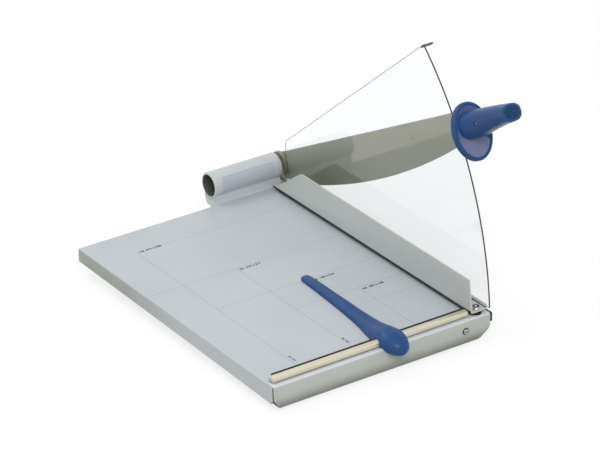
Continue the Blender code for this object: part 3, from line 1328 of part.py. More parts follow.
def ellipse_points(half_width, half_height, count=ROUND_SIDES):
    """Points of the guard's oval, about its own centre in the arm's frame."""
    points = []
    for index in range(count):
        angle = 2 * math.pi * index / count
        x = GUARD_CENTRE_X + half_width * math.cos(angle)
        z = half_height * math.sin(angle) - GUARD_DROP
        points.append((x, z))
    return points


def finger_guard():
    """The oval guard: a thick rounded disc, dished a little on the user's side."""
    rear = -GUARD_REACH
    front = -GUARD_REACH - GUARD_THICKNESS
    wide = GUARD_HALF_WIDTH
    tall = GUARD_HALF_HEIGHT
    edge = GUARD_EDGE
    mid = edge * ROUND_MIDDLE_SHARE
    stations = (
        (rear, edge),
        (rear - mid, mid),
        (rear - edge, 0),
        (front + edge, 0),
        (front + mid, mid),
        (front, edge),
    )
    sections = [(place, ellipse_points(wide - inset, tall - inset)) for place, inset in stations]
    bm = loft_bmesh(sections)
    near_face = [face for face in bm.faces if all(abs(vert.co.y - front) < WELD for vert in face.verts)]
    bmesh.ops.inset_region(bm, faces=near_face, thickness=GUARD_RIM, depth=0)
    bmesh.ops.inset_region(bm, faces=near_face, thickness=GUARD_DISH, depth=-GUARD_DISH)
    piece = add_piece("finger_guard", mesh_from(bm, "finger_guard"), "blue_plastic", ARM)
    end = GUARD_REACH + GUARD_THICKNESS + CUT_OVERRUN
    combine(piece, bar_pocket("guard_slot", GUARD_REACH - CUT_OVERRUN, end, SEAT_GAP))
    return piece


def handle_sections():
    """The grip's sections along the arm."""
    sections = []
    start = -GUARD_REACH - GUARD_THICKNESS + GUARD_DISH - SEAT_GAP
    half = HANDLE_ROOT_WIDTH / 2
    low = HANDLE_ROOT_HEIGHT - HANDLE_TOP
    for along, width, top, bottom in HANDLE_SECTION_SHARES:
        points = rounded_section(
            GUARD_CENTRE_X - half * width, GUARD_CENTRE_X + half * width,
            -low * bottom, HANDLE_TOP * top, HANDLE_SECTION_POWER, HANDLE_SIDES,
        )
        sections.append((start - HANDLE_LENGTH * along, points))
    return sections


def handle_grip():
    """The moulded grip: flared at the guard, slimmer to its end, with a rim round its end face."""
    bm = loft_bmesh(handle_sections())
    end = min(vert.co.y for vert in bm.verts)
    end_face = [face for face in bm.faces if all(abs(vert.co.y - end) < WELD for vert in face.verts)]
    bmesh.ops.inset_region(bm, faces=end_face, thickness=HANDLE_RIM, depth=0)
    bmesh.ops.inset_region(bm, faces=end_face, thickness=HANDLE_DISH, depth=-HANDLE_DISH)
    piece = add_piece("handle_grip", mesh_from(bm, "handle_grip"), "blue_plastic", ARM)
    reach = GUARD_REACH + GUARD_THICKNESS
    combine(piece, bar_pocket("handle_pocket", reach - CUT_OVERRUN, reach + HANDLE_POCKET_DEPTH, SEAT_GAP))
    return piece


def handle_screw(grip, bar):
    """The screw in the grip's left side, through to the bar."""
    half = HANDLE_ROOT_WIDTH / 2 * HANDLE_SECTION_SHARES[3][1]
    face = GUARD_CENTRE_X - half + HANDLE_SCREW_SINK
    reach = GUARD_REACH + GUARD_THICKNESS + HANDLE_SCREW_REACH
    spot = (face + HANDLE_SCREW_HEAD_HEIGHT, -reach, -HANDLE_SCREW_DROP)
    length = BAR_RIGHT_X - SEAT_GAP - spot[0]
    profile = headed_profile(HANDLE_SCREW_HEAD_RADIUS, HANDLE_SCREW_HEAD_HEIGHT, HANDLE_SCREW_SHANK_RADIUS,
                             length)
    mesh = turned_mesh("handle_screw", profile, FACE_LEFT, spot)
    screw = add_piece("handle_screw", mesh, "zinc_steel", ARM)
    slot_place = (face, -reach, -HANDLE_SCREW_DROP)
    cut_slot(screw, "handle_screw_slot", ARM, HANDLE_SCREW_HEAD_RADIUS, FACE_LEFT, slot_place)
    gap = SEAT_GAP
    well = (
        (0, half),
        (HANDLE_SCREW_HEAD_RADIUS + gap, half),
        (HANDLE_SCREW_HEAD_RADIUS + gap, -gap),
        (HANDLE_SCREW_SHANK_RADIUS + gap, -gap),
        (HANDLE_SCREW_SHANK_RADIUS + gap, -length - gap),
        (0, -length - gap),
    )
    cutter = add_cutter("handle_screw_well", turned_mesh("well", well, FACE_LEFT, spot), ARM)
    combine(grip, cutter)
    combine(bar, cutter)
    return screw


def clamp_bar():
    """The folded clamp: a tall leaning wall, a floor and a low lip with a tail for the cam."""
    left = -CLAMP_LEFT
    right = -CLAMP_RIGHT
    front = CLAMP_FRONT_Y
    floor = CLAMP_FLOOR_Z
    path = (
        (left - CLAMP_WALL_LEAN, 0, CLAMP_WALL_HEIGHT),
        (left, 0, floor),
        (right, 0, floor),
        (right, 0, floor + CLAMP_SHEET + CLAMP_LIP_HEIGHT),
    )
    bm = extruded_path(path, front, CLAMP_BACK_Y, (0, 1, 0))
    fold_edges(bm, ((left, None, floor), (right, None, floor)), CLAMP_FOLD_RADIUS, 3)
    piece = folded_sheet("clamp_bar", bm, CLAMP_SHEET, (-1, 0, -1), "clamp_grey", CLAMP)
    over = CLAMP_WALL_HEIGHT + CUT_OVERRUN
    shoulder = (TABLE_REACH_BACK - CLAMP_WALL_SHOULDER_INSET, CLAMP_WALL_HEIGHT)
    low = (TABLE_REACH_BACK - CLAMP_WALL_LOW_INSET, CLAMP_WALL_LOW_HEIGHT)
    slope = round_corner((front, CLAMP_WALL_HEIGHT), shoulder, low, CLAMP_WALL_SHOULDER_RADIUS) + [
        low,
        (CLAMP_BACK_Y + CUT_OVERRUN, CLAMP_WALL_LOW_HEIGHT - CLAMP_SHEET),
        (CLAMP_BACK_Y + CUT_OVERRUN, over),
        (front, over),
        (front, CLAMP_WALL_HEIGHT),
    ]
    cut = side_plate(slope, left - CLAMP_WALL_LEAN - CUT_OVERRUN, left + CLAMP_SHEET + CUT_OVERRUN)
    combine(piece, add_cutter("wall_slope", mesh_from(cut, "cut"), CLAMP))
    tail = box_mesh("tail", (right - CLAMP_SHEET, CLAMP_BACK_Y - CLAMP_SHEET, floor),
                    (right, PIVOT_Y - CLAMP_TAIL_INSET, CLAMP_FLOOR_TOP_Z))
    combine(piece, add_cutter("cam_tail", tail, CLAMP), "UNION")
    for name, place in guide_places():
        cutter = spring_well("clamp_hole_" + name, place, floor - CUT_OVERRUN, floor + CUT_OVERRUN,
                             GUIDE_PIN_RADIUS + SEAT_GAP, CLAMP)
        combine(piece, cutter)
    return piece


def clamp_rubber():
    """The rubber strip under the clamp's floor, holed for the springs."""
    low = (-CLAMP_LEFT + RUBBER_INSET, CLAMP_FRONT_Y + RUBBER_INSET, CLAMP_RUBBER_BOTTOM_Z)
    high = (-CLAMP_RIGHT - RUBBER_INSET, CLAMP_BACK_Y - RUBBER_INSET, CLAMP_RUBBER_BOTTOM_Z + RUBBER_HEIGHT)
    piece = add_piece("clamp_rubber", box_mesh("clamp_rubber", low, high), "black_rubber", CLAMP)
    for name, place in guide_places():
        cutter = spring_well("rubber_well_" + name, place, low[2] - CUT_OVERRUN, high[2] + CUT_OVERRUN,
                             SPRING_WELL_RADIUS, CLAMP)
        combine(piece, cutter)
    return piece


def guide_pins():
    """Guide pins on the clamp, their bushes in the beam and the springs between."""
    for name, place in guide_places():
        middle = (GUIDE_X, place, 0)
        top = CLAMP_FLOOR_TOP_Z + SEAT_GAP
        flange = top + GUIDE_FLANGE_HEIGHT
        head = flange + GUIDE_HEAD_HEIGHT
        edge = GUIDE_HEAD_HEIGHT / 3
        socket = GUIDE_SOCKET_RADIUS
        low = top - CLAMP_SHEET - GUIDE_PIN_LENGTH
        profile = (
            (0, head - GUIDE_SOCKET_DEPTH),
            (socket, head - GUIDE_SOCKET_DEPTH),
            (socket, head),
            (GUIDE_HEAD_RADIUS - 2 * edge, head),
            (GUIDE_HEAD_RADIUS - edge, head - edge),
            (GUIDE_HEAD_RADIUS - edge, flange),
            (GUIDE_FLANGE_RADIUS, flange),
            (GUIDE_FLANGE_RADIUS, top),
            (GUIDE_PIN_RADIUS, top),
            (GUIDE_PIN_RADIUS, low),
            (0, low),
        )
        pin = "guide_pin_" + name
        add_piece(pin, turned_mesh(pin, profile, ALONG_Z, middle, ROUND_SIDES // 2), "zinc_steel", CLAMP)
        cup_low = -GUIDE_CUP_DEPTH
        cup_floor = cup_low + GUIDE_CUP_FLOOR
        bore = GUIDE_PIN_RADIUS + RUNNING_GAP
        cup = (
            (GUIDE_CUP_RADIUS, 0),
            (GUIDE_CUP_RADIUS, cup_low),
            (bore, cup_low),
            (bore, cup_floor),
            (GUIDE_CUP_RADIUS - GUIDE_CUP_WALL, cup_floor),
            (GUIDE_CUP_RADIUS - GUIDE_CUP_WALL, 0),
        )
        bush = "guide_bush_" + name
        add_piece(bush, turned_mesh(bush, cup, ALONG_Z, middle, ROUND_SIDES // 2), "bronze", BASE)
        spring = "clamp_spring_" + name
        low = cup_floor + SEAT_GAP + CLAMP_SPRING_WIRE
        high = CLAMP_FLOOR_Z - SEAT_GAP - CLAMP_SPRING_WIRE
        add_piece(spring, coil_curve(spring, CLAMP_SPRING_RADIUS, CLAMP_SPRING_WIRE, low, high,
                                     CLAMP_SPRING_TURNS, ALONG_Z, middle, 10), "zinc_steel", CLAMP)


def arc_centre(first, second, radius):
    """The centre, behind the edge, of an arc through two points."""
    middle = ((first[0] + second[0]) / 2, (first[1] + second[1]) / 2)
    run = second[0] - first[0]
    rise = second[1] - first[1]
    half = math.hypot(run, rise) / 2
    away = math.sqrt(radius ** 2 - half ** 2)
    return (middle[0] + away * rise / (2 * half), middle[1] - away * run / (2 * half))


def shield():
    """The clear guard: a sloping top, an arc ahead of the arm's sweep and a stop lip."""
    toe = (FRONT_FACE_Y, SHIELD_LOWER_EDGE)
    tip_reach = GUARD_REACH - SHIELD_TIP_PLAY
    tip = (PIVOT_Y - tip_reach * math.cos(SHIELD_TIP_ANGLE),
           PIVOT_HEIGHT + tip_reach * math.sin(SHIELD_TIP_ANGLE))
    back = TABLE_REACH_BACK - SHIELD_BACK_INSET
    centre = arc_centre(toe, tip, SHIELD_ARC_RADIUS)
    toe_angle = math.atan2(toe[1] - centre[1], toe[0] - centre[0])
    tip_angle = math.atan2(tip[1] - centre[1], tip[0] - centre[0])
    if toe_angle < 0:
        toe_angle += 2 * math.pi
    rise = tip[1] - SHIELD_BACK_HEIGHT
    run = back - tip[0]
    slope = math.atan2(rise, run)
    radius = SHIELD_CORNER_RADIUS
    tangent = radius * math.tan((math.pi / 2 - slope) / 2)
    corner = (back - radius, SHIELD_BACK_HEIGHT - tangent)
    outline = [(back, SHIELD_LOWER_EDGE)]
    outline += arc(corner, radius, 0, math.pi / 2 - slope, 5)
    outline += arc(centre, SHIELD_ARC_RADIUS, tip_angle, toe_angle, 2 * CURVE_STEPS)
    left = -CLAMP_RIGHT + SEAT_GAP
    mesh = mesh_from(side_plate(outline, left, SHIELD_RIGHT_X), "shield")
    piece = add_piece("shield", mesh, "clear_sheet", CLAMP)
    along = Vector((math.cos(slope), -math.sin(slope)))
    down = Vector((-math.sin(slope), -math.cos(slope)))
    start = Vector(tip) + (along + down) * STOP_LIP_SET
    end = start + along * STOP_LIP_LENGTH
    lip = [
        tuple(start),
        tuple(start + down * SHIELD_THICKNESS),
        tuple(end + down * SHIELD_THICKNESS),
        tuple(end),
    ]
    lip_plate = side_plate(lip, SHIELD_RIGHT_X - SHIELD_THICKNESS / 2, SHIELD_RIGHT_X + STOP_LIP_REACH)
    combine(piece, add_cutter("stop_lip", mesh_from(lip_plate, "lip"), CLAMP), "UNION")
    return piece


def shield_screws(shield_piece, clamp):
    """Small screws through the clamp's lip into the clear guard."""
    profile = headed_profile(SHIELD_SCREW_HEAD_RADIUS, SHIELD_SCREW_HEAD_HEIGHT, SHIELD_SCREW_SHANK_RADIUS,
                             SHIELD_SCREW_LENGTH)
    level = CLAMP_FLOOR_TOP_Z + SHIELD_SCREW_RISE
    length = CLAMP_BACK_Y - CLAMP_FRONT_Y
    for index, share in enumerate(SHIELD_SCREW_PLACE_SHARES, 1):
        name = "shield_screw_%d" % index
        spot = (-CLAMP_RIGHT - CLAMP_SHEET - SEAT_GAP, CLAMP_FRONT_Y + length * share, level)
        add_piece(name, turned_mesh(name, profile, FACE_LEFT, spot), "zinc_steel", CLAMP)
        hole = rod_mesh("hole", SHIELD_SCREW_SHANK_RADIUS + SEAT_GAP, -SHIELD_SCREW_LENGTH - SEAT_GAP,
                        CUT_OVERRUN, FACE_LEFT, spot)
        cutter = add_cutter(name + "_hole", hole, CLAMP)
        combine(shield_piece, cutter)
        combine(clamp, cutter)


def gauge_arm():
    """The blue gauge: a slim arm on the table and a bulb that wraps the rail."""
    sections = []
    for along, left, right, top, drop, squareness in GAUGE_SECTION_SHARES:
        place = along * (GAUGE_TIP_REACH if along > 0 else GAUGE_HEAD_REACH)
        height = GAUGE_HEIGHT * top
        low = -GAUGE_HEAD_DROP * drop if along < 0 else -height
        points = rounded_section(
            -GAUGE_CENTRE - GAUGE_HALF_WIDTH * left, -GAUGE_CENTRE + GAUGE_HALF_WIDTH * right,
            low, height, squareness, GAUGE_SIDES,
        )
        sections.append((place, points))
    bm = loft_bmesh(sections)
    piece = add_piece("gauge_arm", mesh_from(bm, "gauge_arm"), "blue_plastic", GAUGE)
    wide = GAUGE_HALF_WIDTH + CUT_OVERRUN
    left = -GAUGE_CENTRE - wide
    right = -GAUGE_CENTRE + wide
    gap = RUNNING_GAP
    deep = GAUGE_HEIGHT + CUT_OVERRUN
    under = box_mesh("under", (left, FRONT_FACE_Y - gap, -deep),
                     (right, GAUGE_TIP_REACH + CUT_OVERRUN, gap))
    combine(piece, add_cutter("gauge_underside", under, GAUGE))
    slot = box_mesh("slot", (left, RAIL_FRONT_Y - gap, -gap), (right, gap, GASKET_TOP_Z + gap))
    combine(piece, add_cutter("gauge_rail_slot", slot, GAUGE))
    half = GAUGE_SHOE_LENGTH / 2 + gap
    shoe_half = GAUGE_SHOE_WIDTH / 2 + gap
    pocket = box_mesh("pocket", (-GAUGE_CENTRE - half, RAIL_MIDDLE_Y - shoe_half, RAIL_TOP_Z - gap),
                      (-GAUGE_CENTRE + half, RAIL_MIDDLE_Y + shoe_half, RAIL_TOP_Z + GAUGE_POCKET_HEIGHT))
    combine(piece, add_cutter("gauge_pocket", pocket, GAUGE))
    return piece


def gauge_brake():
    """The shoe that rubs on the rail and the bowed leaf spring that presses it."""
    half = GAUGE_SHOE_LENGTH / 2
    shoe_half = GAUGE_SHOE_WIDTH / 2
    low = RAIL_TOP_Z + RUNNING_GAP
    high = low + GAUGE_SHOE_HEIGHT
    mesh = box_mesh("gauge_shoe", (-GAUGE_CENTRE - half, RAIL_MIDDLE_Y - shoe_half, low),
                    (-GAUGE_CENTRE + half, RAIL_MIDDLE_Y + shoe_half, high))
    add_piece("gauge_shoe", mesh, "nylon", GAUGE)
    start = high + SEAT_GAP
    width = GAUGE_SPRING_WIDTH / 2
    upper = []
    lower = []
    for step in range(CURVE_STEPS + 1):
        share = 2 * step / CURVE_STEPS - 1
        bow = start + GAUGE_SPRING_RISE * (1 - share ** 2)
        lower.append((-GAUGE_CENTRE + (half - SEAT_GAP) * share, bow))
        upper.append((-GAUGE_CENTRE + (half - SEAT_GAP) * share, bow + GAUGE_SPRING_SHEET))
    bm = front_plate(lower + upper[::-1], RAIL_MIDDLE_Y - width, RAIL_MIDDLE_Y + width)
    add_piece("gauge_spring", mesh_from(bm, "gauge_spring"), "zinc_steel", GAUGE)


def stand_on_origin():
    """Moves the cutter so that its box stands centred on the world origin."""
    bpy.context.view_layer.update()
    graph = bpy.context.evaluated_depsgraph_get()
    low = Vector((math.inf,) * 3)
    high = Vector((-math.inf,) * 3)
    for piece in PARTS.objects:
        if piece.type == "EMPTY":
            continue
        evaluated = piece.evaluated_get(graph)
        mesh = evaluated.to_mesh()
        for vert in mesh.vertices:
            place = evaluated.matrix_world @ vert.co
            low = Vector(map(min, low, place))
            high = Vector(map(max, high, place))
        evaluated.to_mesh_clear()
    ROOT.location = (-(low.x + high.x) / 2, -(low.y + high.y) / 2, -low.z)
    print("box", [round(side, 5) for side in high - low])
    print("paper corner", [round(value, 6) for value in ROOT.location])
    pivot = ROOT.location + Vector((0, PIVOT_Y, PIVOT_HEIGHT))
    print("pivot", [round(value, 6) for value in pivot])


TABLE = table_plate()
CHANNEL = front_channel()
side_beam()
front_bracket()
front_screw()
cross_ribs()
feet()
fixed_blade()
RAIL, GASKET = paper_rail()
rail_screws(RAIL, GASKET, CHANNEL)
HOUSING = pivot_housing()
housing_bolts(HOUSING, TABLE)
shaft_parts()
clamp_cam()
BLADE = blade()
BAR = arm_bar()
blade_screws(BLADE, BAR)
finger_guard()
GRIP = handle_grip()
handle_screw(GRIP, BAR)
CLAMP_PIECE = clamp_bar()
clamp_rubber()
guide_pins()
SHIELD = shield()
shield_screws(SHIELD, CLAMP_PIECE)
gauge_arm()
gauge_brake()
stand_on_origin()
print("cam lift per radian", round(CAM_RISE, 6))
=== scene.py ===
# %% [markdown]
# # A guillotine paper cutter, dressed for a photograph
# The solids of the cutter come from its CAD model and are already in place.
# This lesson gives them their looks: paint, ground steel, blue moulded plastic,
# a clear guard and the printed paper formats on the table.
# Everything is in metres, with the user in front at -Y and the blade at the right.

# %% Load the solids and find the paper corner
import math

import bmesh
import bpy
from mathutils import Matrix, Vector
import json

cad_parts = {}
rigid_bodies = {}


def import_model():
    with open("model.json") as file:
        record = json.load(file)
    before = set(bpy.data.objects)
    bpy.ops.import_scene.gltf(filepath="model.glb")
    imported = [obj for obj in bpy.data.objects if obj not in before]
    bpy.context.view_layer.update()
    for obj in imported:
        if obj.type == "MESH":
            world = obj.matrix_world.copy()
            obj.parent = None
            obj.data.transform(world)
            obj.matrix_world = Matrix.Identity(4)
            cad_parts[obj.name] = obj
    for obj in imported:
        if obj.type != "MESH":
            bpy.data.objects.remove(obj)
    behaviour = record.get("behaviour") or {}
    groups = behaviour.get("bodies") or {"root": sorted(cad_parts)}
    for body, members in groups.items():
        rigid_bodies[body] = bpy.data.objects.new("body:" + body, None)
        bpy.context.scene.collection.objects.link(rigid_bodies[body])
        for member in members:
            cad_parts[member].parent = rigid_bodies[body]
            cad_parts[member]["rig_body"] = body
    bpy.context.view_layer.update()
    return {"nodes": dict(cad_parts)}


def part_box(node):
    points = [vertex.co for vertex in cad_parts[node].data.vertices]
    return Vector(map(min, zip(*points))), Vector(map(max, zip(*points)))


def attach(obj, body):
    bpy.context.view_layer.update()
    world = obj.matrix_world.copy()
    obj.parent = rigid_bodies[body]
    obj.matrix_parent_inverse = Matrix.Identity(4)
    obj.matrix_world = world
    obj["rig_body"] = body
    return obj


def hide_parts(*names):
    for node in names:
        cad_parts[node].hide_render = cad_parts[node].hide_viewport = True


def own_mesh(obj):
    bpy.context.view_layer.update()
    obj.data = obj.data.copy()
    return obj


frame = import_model()
MM = 0.001
CORNER = Vector((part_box("fixed_blade")[1].x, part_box("rail_gasket")[1].y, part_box("table_plate")[1].z))
print("paper corner", [round(value, 4) for value in CORNER])


def place(x, y, z):
    """A point measured in millimetres from the corner where the paper is laid."""
    return CORNER + Vector((x, y, z)) * MM


# %% [markdown]
# ## Two small helpers
# A mesh, a lamp or a camera only shows when an object carries it, and that object
# has to be linked to the scene. A mesh is made in a bmesh first, which is freed as
# soon as the mesh has its content.


# %% Helpers for objects and meshes
def put(name, data):
    """A new object that carries a mesh, a lamp, a camera or a text, linked to the scene."""
    made = bpy.data.objects.new(name, data)
    bpy.context.scene.collection.objects.link(made)
    return made


def mesh_from(bm, name):
    """A mesh with the content of a bmesh, which is freed."""
    mesh = bpy.data.meshes.new(name)
    bm.to_mesh(mesh)
    bm.free()
    return mesh


# %% [markdown]
# ## The camera
# The photograph was taken from far away with a long lens, which keeps parallel
# edges nearly parallel. The camera stands to the left of the user, 27 degrees
# above the table. Its right and up directions are written out, because the
# picture is tilted a little and a tilt is lost when a camera only looks at a point.

# %% Place the camera
SENSOR_MM = 36
FOCAL_PIXELS = 3550.1
PICTURE_WIDTH = 600
LENS_SHARE = FOCAL_PIXELS / PICTURE_WIDTH
CAMERA_RIGHT = Vector((0.8321, -0.5540, -0.0253)).normalized()
CAMERA_UP = Vector((0.2666, 0.3596, 0.8942))
CAMERA_PLACE_MM = (-2531.7, -3454.3, 2268.5)
camera_back = CAMERA_RIGHT.cross(CAMERA_UP).normalized()
camera_up = camera_back.cross(CAMERA_RIGHT)
camera_data = bpy.data.cameras.new("camera")
camera_data.sensor_width = SENSOR_MM
camera_data.lens = SENSOR_MM * LENS_SHARE
camera = put("camera", camera_data)
turn = Matrix((CAMERA_RIGHT, camera_up, camera_back)).transposed()
camera.matrix_world = Matrix.Translation(place(*CAMERA_PLACE_MM)) @ turn.to_4x4()
bpy.context.scene.camera = camera
print("lens", round(camera_data.lens, 1), "mm")

# %% [markdown]
# ## The studio
# A product photograph like this has a white ground and very even light.
# The world gives that even light at a plain level. What the camera sees directly,
# in a reflection or through the clear guard is plain white instead.


# %% Light the studio
def seen_directly(tree):
    """A value that is 1 for what the camera sees, also in a reflection or through the clear guard."""
    path = tree.nodes.new("ShaderNodeLightPath")
    value = path.outputs["Is Camera Ray"]
    for ray in ("Is Glossy Ray", "Is Transmission Ray"):
        either = tree.nodes.new("ShaderNodeMath")
        either.operation = "MAXIMUM"
        tree.links.new(value, either.inputs[0])
        tree.links.new(path.outputs[ray], either.inputs[1])
        value = either.outputs[0]
    return value


bpy.context.scene.view_settings.view_transform = "Standard"
WORLD_LEVEL = 0.70
world = bpy.data.worlds.new("studio")
world.use_nodes = True
bpy.context.scene.world = world
tree = world.node_tree
background = tree.nodes["Background"]
background.inputs["Color"].default_value = (1.0, 1.0, 1.0, 1.0)
level = tree.nodes.new("ShaderNodeMapRange")
level.inputs["To Min"].default_value = WORLD_LEVEL
level.inputs["To Max"].default_value = 1.0
tree.links.new(seen_directly(tree), level.inputs["Value"])
tree.links.new(level.outputs["Result"], background.inputs["Strength"])
print("world level", WORLD_LEVEL)

# %% [markdown]
# ## Two lamps
# One wide lamp stands in front, to the left and above, as a softbox beside the
# photographer does, and lights the sides that face the camera as well as the top.
# A weaker one behind fills the back of the table beside the pivot.


# %% Hang the lamps
def hang_lamp(name, long_side, short_side, watts, position):
    """A rectangular lamp that shines at the origin."""
    data = bpy.data.lights.new(name, "AREA")
    data.shape = "RECTANGLE"
    data.size = long_side
    data.size_y = short_side
    data.energy = watts
    position = Vector(position)
    turn = position.to_track_quat("Z", "Y").to_matrix().to_4x4()
    put(name, data).matrix_world = Matrix.Translation(position) @ turn
    print(name, watts, "W")


hang_lamp("softbox", 1.6, 1.2, 57, (-1.2, -2.5, 2.6))
hang_lamp("top_light", 1.8, 1.0, 13, (-0.7, 1.4, 2.1))

# %% [markdown]
# ## The floor
# The floor is pale and takes the cutter's shadow. What the camera, a reflection or
# the clear guard sees of it is whiter, and mixed with plain white, so that the
# ground reads as white paper and the shadow on it stays soft. It throws less light
# back than it shows, because undersides in the photograph are clearly darker.

# %% Lay the floor
FLOOR_SIZE = 40.0
FLOOR_LIT = (0.45, 0.45, 0.45, 1)
FLOOR_SEEN = (1.0, 1.0, 1.0, 1)
FLOOR_WHITE_SHARE = 0.80
# A node that mixes colours has its sockets at these numbers.
MIX_FACTOR, MIX_FIRST, MIX_SECOND, MIX_COLOUR = 0, 6, 7, 2
bm = bmesh.new()
bmesh.ops.create_grid(bm, x_segments=1, y_segments=1, size=FLOOR_SIZE / 2)
floor_mesh = mesh_from(bm, "floor")
floor = put("floor", floor_mesh)
floor_paint = bpy.data.materials.new("floor")
floor_paint.use_nodes = True
tree = floor_paint.node_tree
shader = tree.nodes["Principled BSDF"]
shader.inputs["Roughness"].default_value = 0.9
shader.inputs["Specular IOR Level"].default_value = 0.0
seen = seen_directly(tree)
tone = tree.nodes.new("ShaderNodeMix")
tone.data_type = "RGBA"
tone.inputs[MIX_FIRST].default_value = FLOOR_LIT
tone.inputs[MIX_SECOND].default_value = FLOOR_SEEN
glow = tree.nodes.new("ShaderNodeEmission")
share = tree.nodes.new("ShaderNodeMath")
share.operation = "MULTIPLY"
share.inputs[1].default_value = FLOOR_WHITE_SHARE
mix = tree.nodes.new("ShaderNodeMixShader")
tree.links.new(seen, tone.inputs[MIX_FACTOR])
tree.links.new(tone.outputs[MIX_COLOUR], shader.inputs["Base Color"])
tree.links.new(seen, share.inputs[0])
tree.links.new(share.outputs[0], mix.inputs[0])
tree.links.new(shader.outputs[0], mix.inputs[1])
tree.links.new(glow.outputs[0], mix.inputs[2])
tree.links.new(mix.outputs[0], tree.nodes["Material Output"].inputs["Surface"])
floor_mesh.materials.append(floor_paint)
print("floor", FLOOR_SIZE, "m across")

# %% [markdown]
# ## Values in a node tree
# Noise comes out mostly between 0.3 and 0.7, so every value taken from it is
# stretched from there onto the range that a finish needs.

# %% Helpers for values
NOISE_LOW = 0.3
NOISE_HIGH = 0.7


def spread(tree, noise, low, high):
    """A noise value stretched onto a range."""
    node = tree.nodes.new("ShaderNodeMapRange")
    node.inputs["From Min"].default_value = NOISE_LOW
    node.inputs["From Max"].default_value = NOISE_HIGH
    node.inputs["To Min"].default_value = low
    node.inputs["To Max"].default_value = high
    tree.links.new(noise, node.inputs["Value"])
    return node.outputs["Result"]


def times(tree, first, second):
    """The product of two values."""
    node = tree.nodes.new("ShaderNodeMath")
    node.operation = "MULTIPLY"
    tree.links.new(first, node.inputs[0])
    tree.links.new(second, node.inputs[1])
    return node.outputs[0]


# %% [markdown]
# ## Surface effects as node groups
# Several finishes share the same small effects, so each effect is built once as a
# node group. `mottle` gives slow clouds and fine grain. `streaks` is drawn out along
# one direction, as brushing and grinding leave a surface. `fade` grows along one
# axis with an uneven edge; the masks made with it mostly paint in shade and light.
# A group gives out only values, and each material decides what to do with them.


# %% Helpers for groups
def new_group(name, inputs, outputs):
    """An empty shader group with float sockets and its two end nodes."""
    group = bpy.data.node_groups.new(name, "ShaderNodeTree")
    for socket, value in inputs:
        made = group.interface.new_socket(socket, in_out="INPUT", socket_type="NodeSocketFloat")
        made.default_value = value
    for socket in outputs:
        group.interface.new_socket(socket, in_out="OUTPUT", socket_type="NodeSocketFloat")
    start = group.nodes.new("NodeGroupInput")
    end = group.nodes.new("NodeGroupOutput")
    return group, start, end


def noise_in(group, detail):
    """A noise texture on Object coordinates inside a group."""
    coordinates = group.nodes.new("ShaderNodeTexCoord")
    mapping = group.nodes.new("ShaderNodeMapping")
    noise = group.nodes.new("ShaderNodeTexNoise")
    noise.inputs["Detail"].default_value = detail
    group.links.new(coordinates.outputs["Object"], mapping.inputs["Vector"])
    group.links.new(mapping.outputs["Vector"], noise.inputs["Vector"])
    return mapping, noise


# %% Build the shared groups
MOTTLE_SCALES = (("Cloud Scale", 9.0), ("Grain Scale", 1400.0))
WAVER_SCALE = 26.0
WAVER_LOW = 0.80


def build_mottle():
    """Slow clouds and fine grain."""
    group, start, end = new_group("mottle", MOTTLE_SCALES, ("Cloud", "Grain"))
    for output, detail in (("Cloud", 3.0), ("Grain", 1.0)):
        _, noise = noise_in(group, detail)
        group.links.new(start.outputs[output + " Scale"], noise.inputs["Scale"])
        group.links.new(noise.outputs["Fac"], end.inputs[output])
    return group


def build_streaks(name, stretch):
    """Fine lines drawn out along the direction with the smallest stretch."""
    group, start, end = new_group(name, (("Scale", 60.0),), ("Streaks",))
    mapping, noise = noise_in(group, 2.0)
    mapping.inputs["Scale"].default_value = stretch
    group.links.new(start.outputs["Scale"], noise.inputs["Scale"])
    group.links.new(noise.outputs["Fac"], end.inputs["Streaks"])
    return group


def build_fade(name, axis):
    """A mask that grows from one place to another along an axis, with a wavering edge."""
    group, start, end = new_group(name, (("Start", 0.0), ("End", 1.0), ("Amount", 1.0)), ("Mask",))
    coordinates = group.nodes.new("ShaderNodeTexCoord")
    apart = group.nodes.new("ShaderNodeSeparateXYZ")
    ramp = group.nodes.new("ShaderNodeMapRange")
    ramp.interpolation_type = "SMOOTHSTEP"
    _, noise = noise_in(group, 4.0)
    noise.inputs["Scale"].default_value = WAVER_SCALE
    group.links.new(coordinates.outputs["Object"], apart.inputs["Vector"])
    group.links.new(apart.outputs[axis], ramp.inputs["Value"])
    group.links.new(start.outputs["Start"], ramp.inputs["From Min"])
    group.links.new(start.outputs["End"], ramp.inputs["From Max"])
    waver = spread(group, noise.outputs["Fac"], WAVER_LOW, 1.0)
    uneven = times(group, ramp.outputs["Result"], waver)
    group.links.new(times(group, uneven, start.outputs["Amount"]), end.inputs["Mask"])
    return group


MOTTLE = build_mottle()
FADE_Y = build_fade("fade_y", "Y")
FADE_Z = build_fade("fade_z", "Z")
STREAKS_X = build_streaks("streaks_x", (0.02, 1.0, 1.0))
STREAKS_ARM = build_streaks("streaks_arm", (1.0, 0.5, 1.0))
print("groups", [group.name for group in bpy.data.node_groups])


# %% [markdown]
# ## One way to mix a finish
# Every finish here is a Principled BSDF whose colour and roughness wander between
# two values, with a fine bump. This helper wires that once. What differs between
# paint, plastic and metal is only the numbers and the group that drives them.


# %% A helper for finishes
def effect(tree, group, **values):
    """A group node with its inputs set."""
    node = tree.nodes.new("ShaderNodeGroup")
    node.node_tree = group
    for name, value in values.items():
        node.inputs[name].default_value = value
    return node


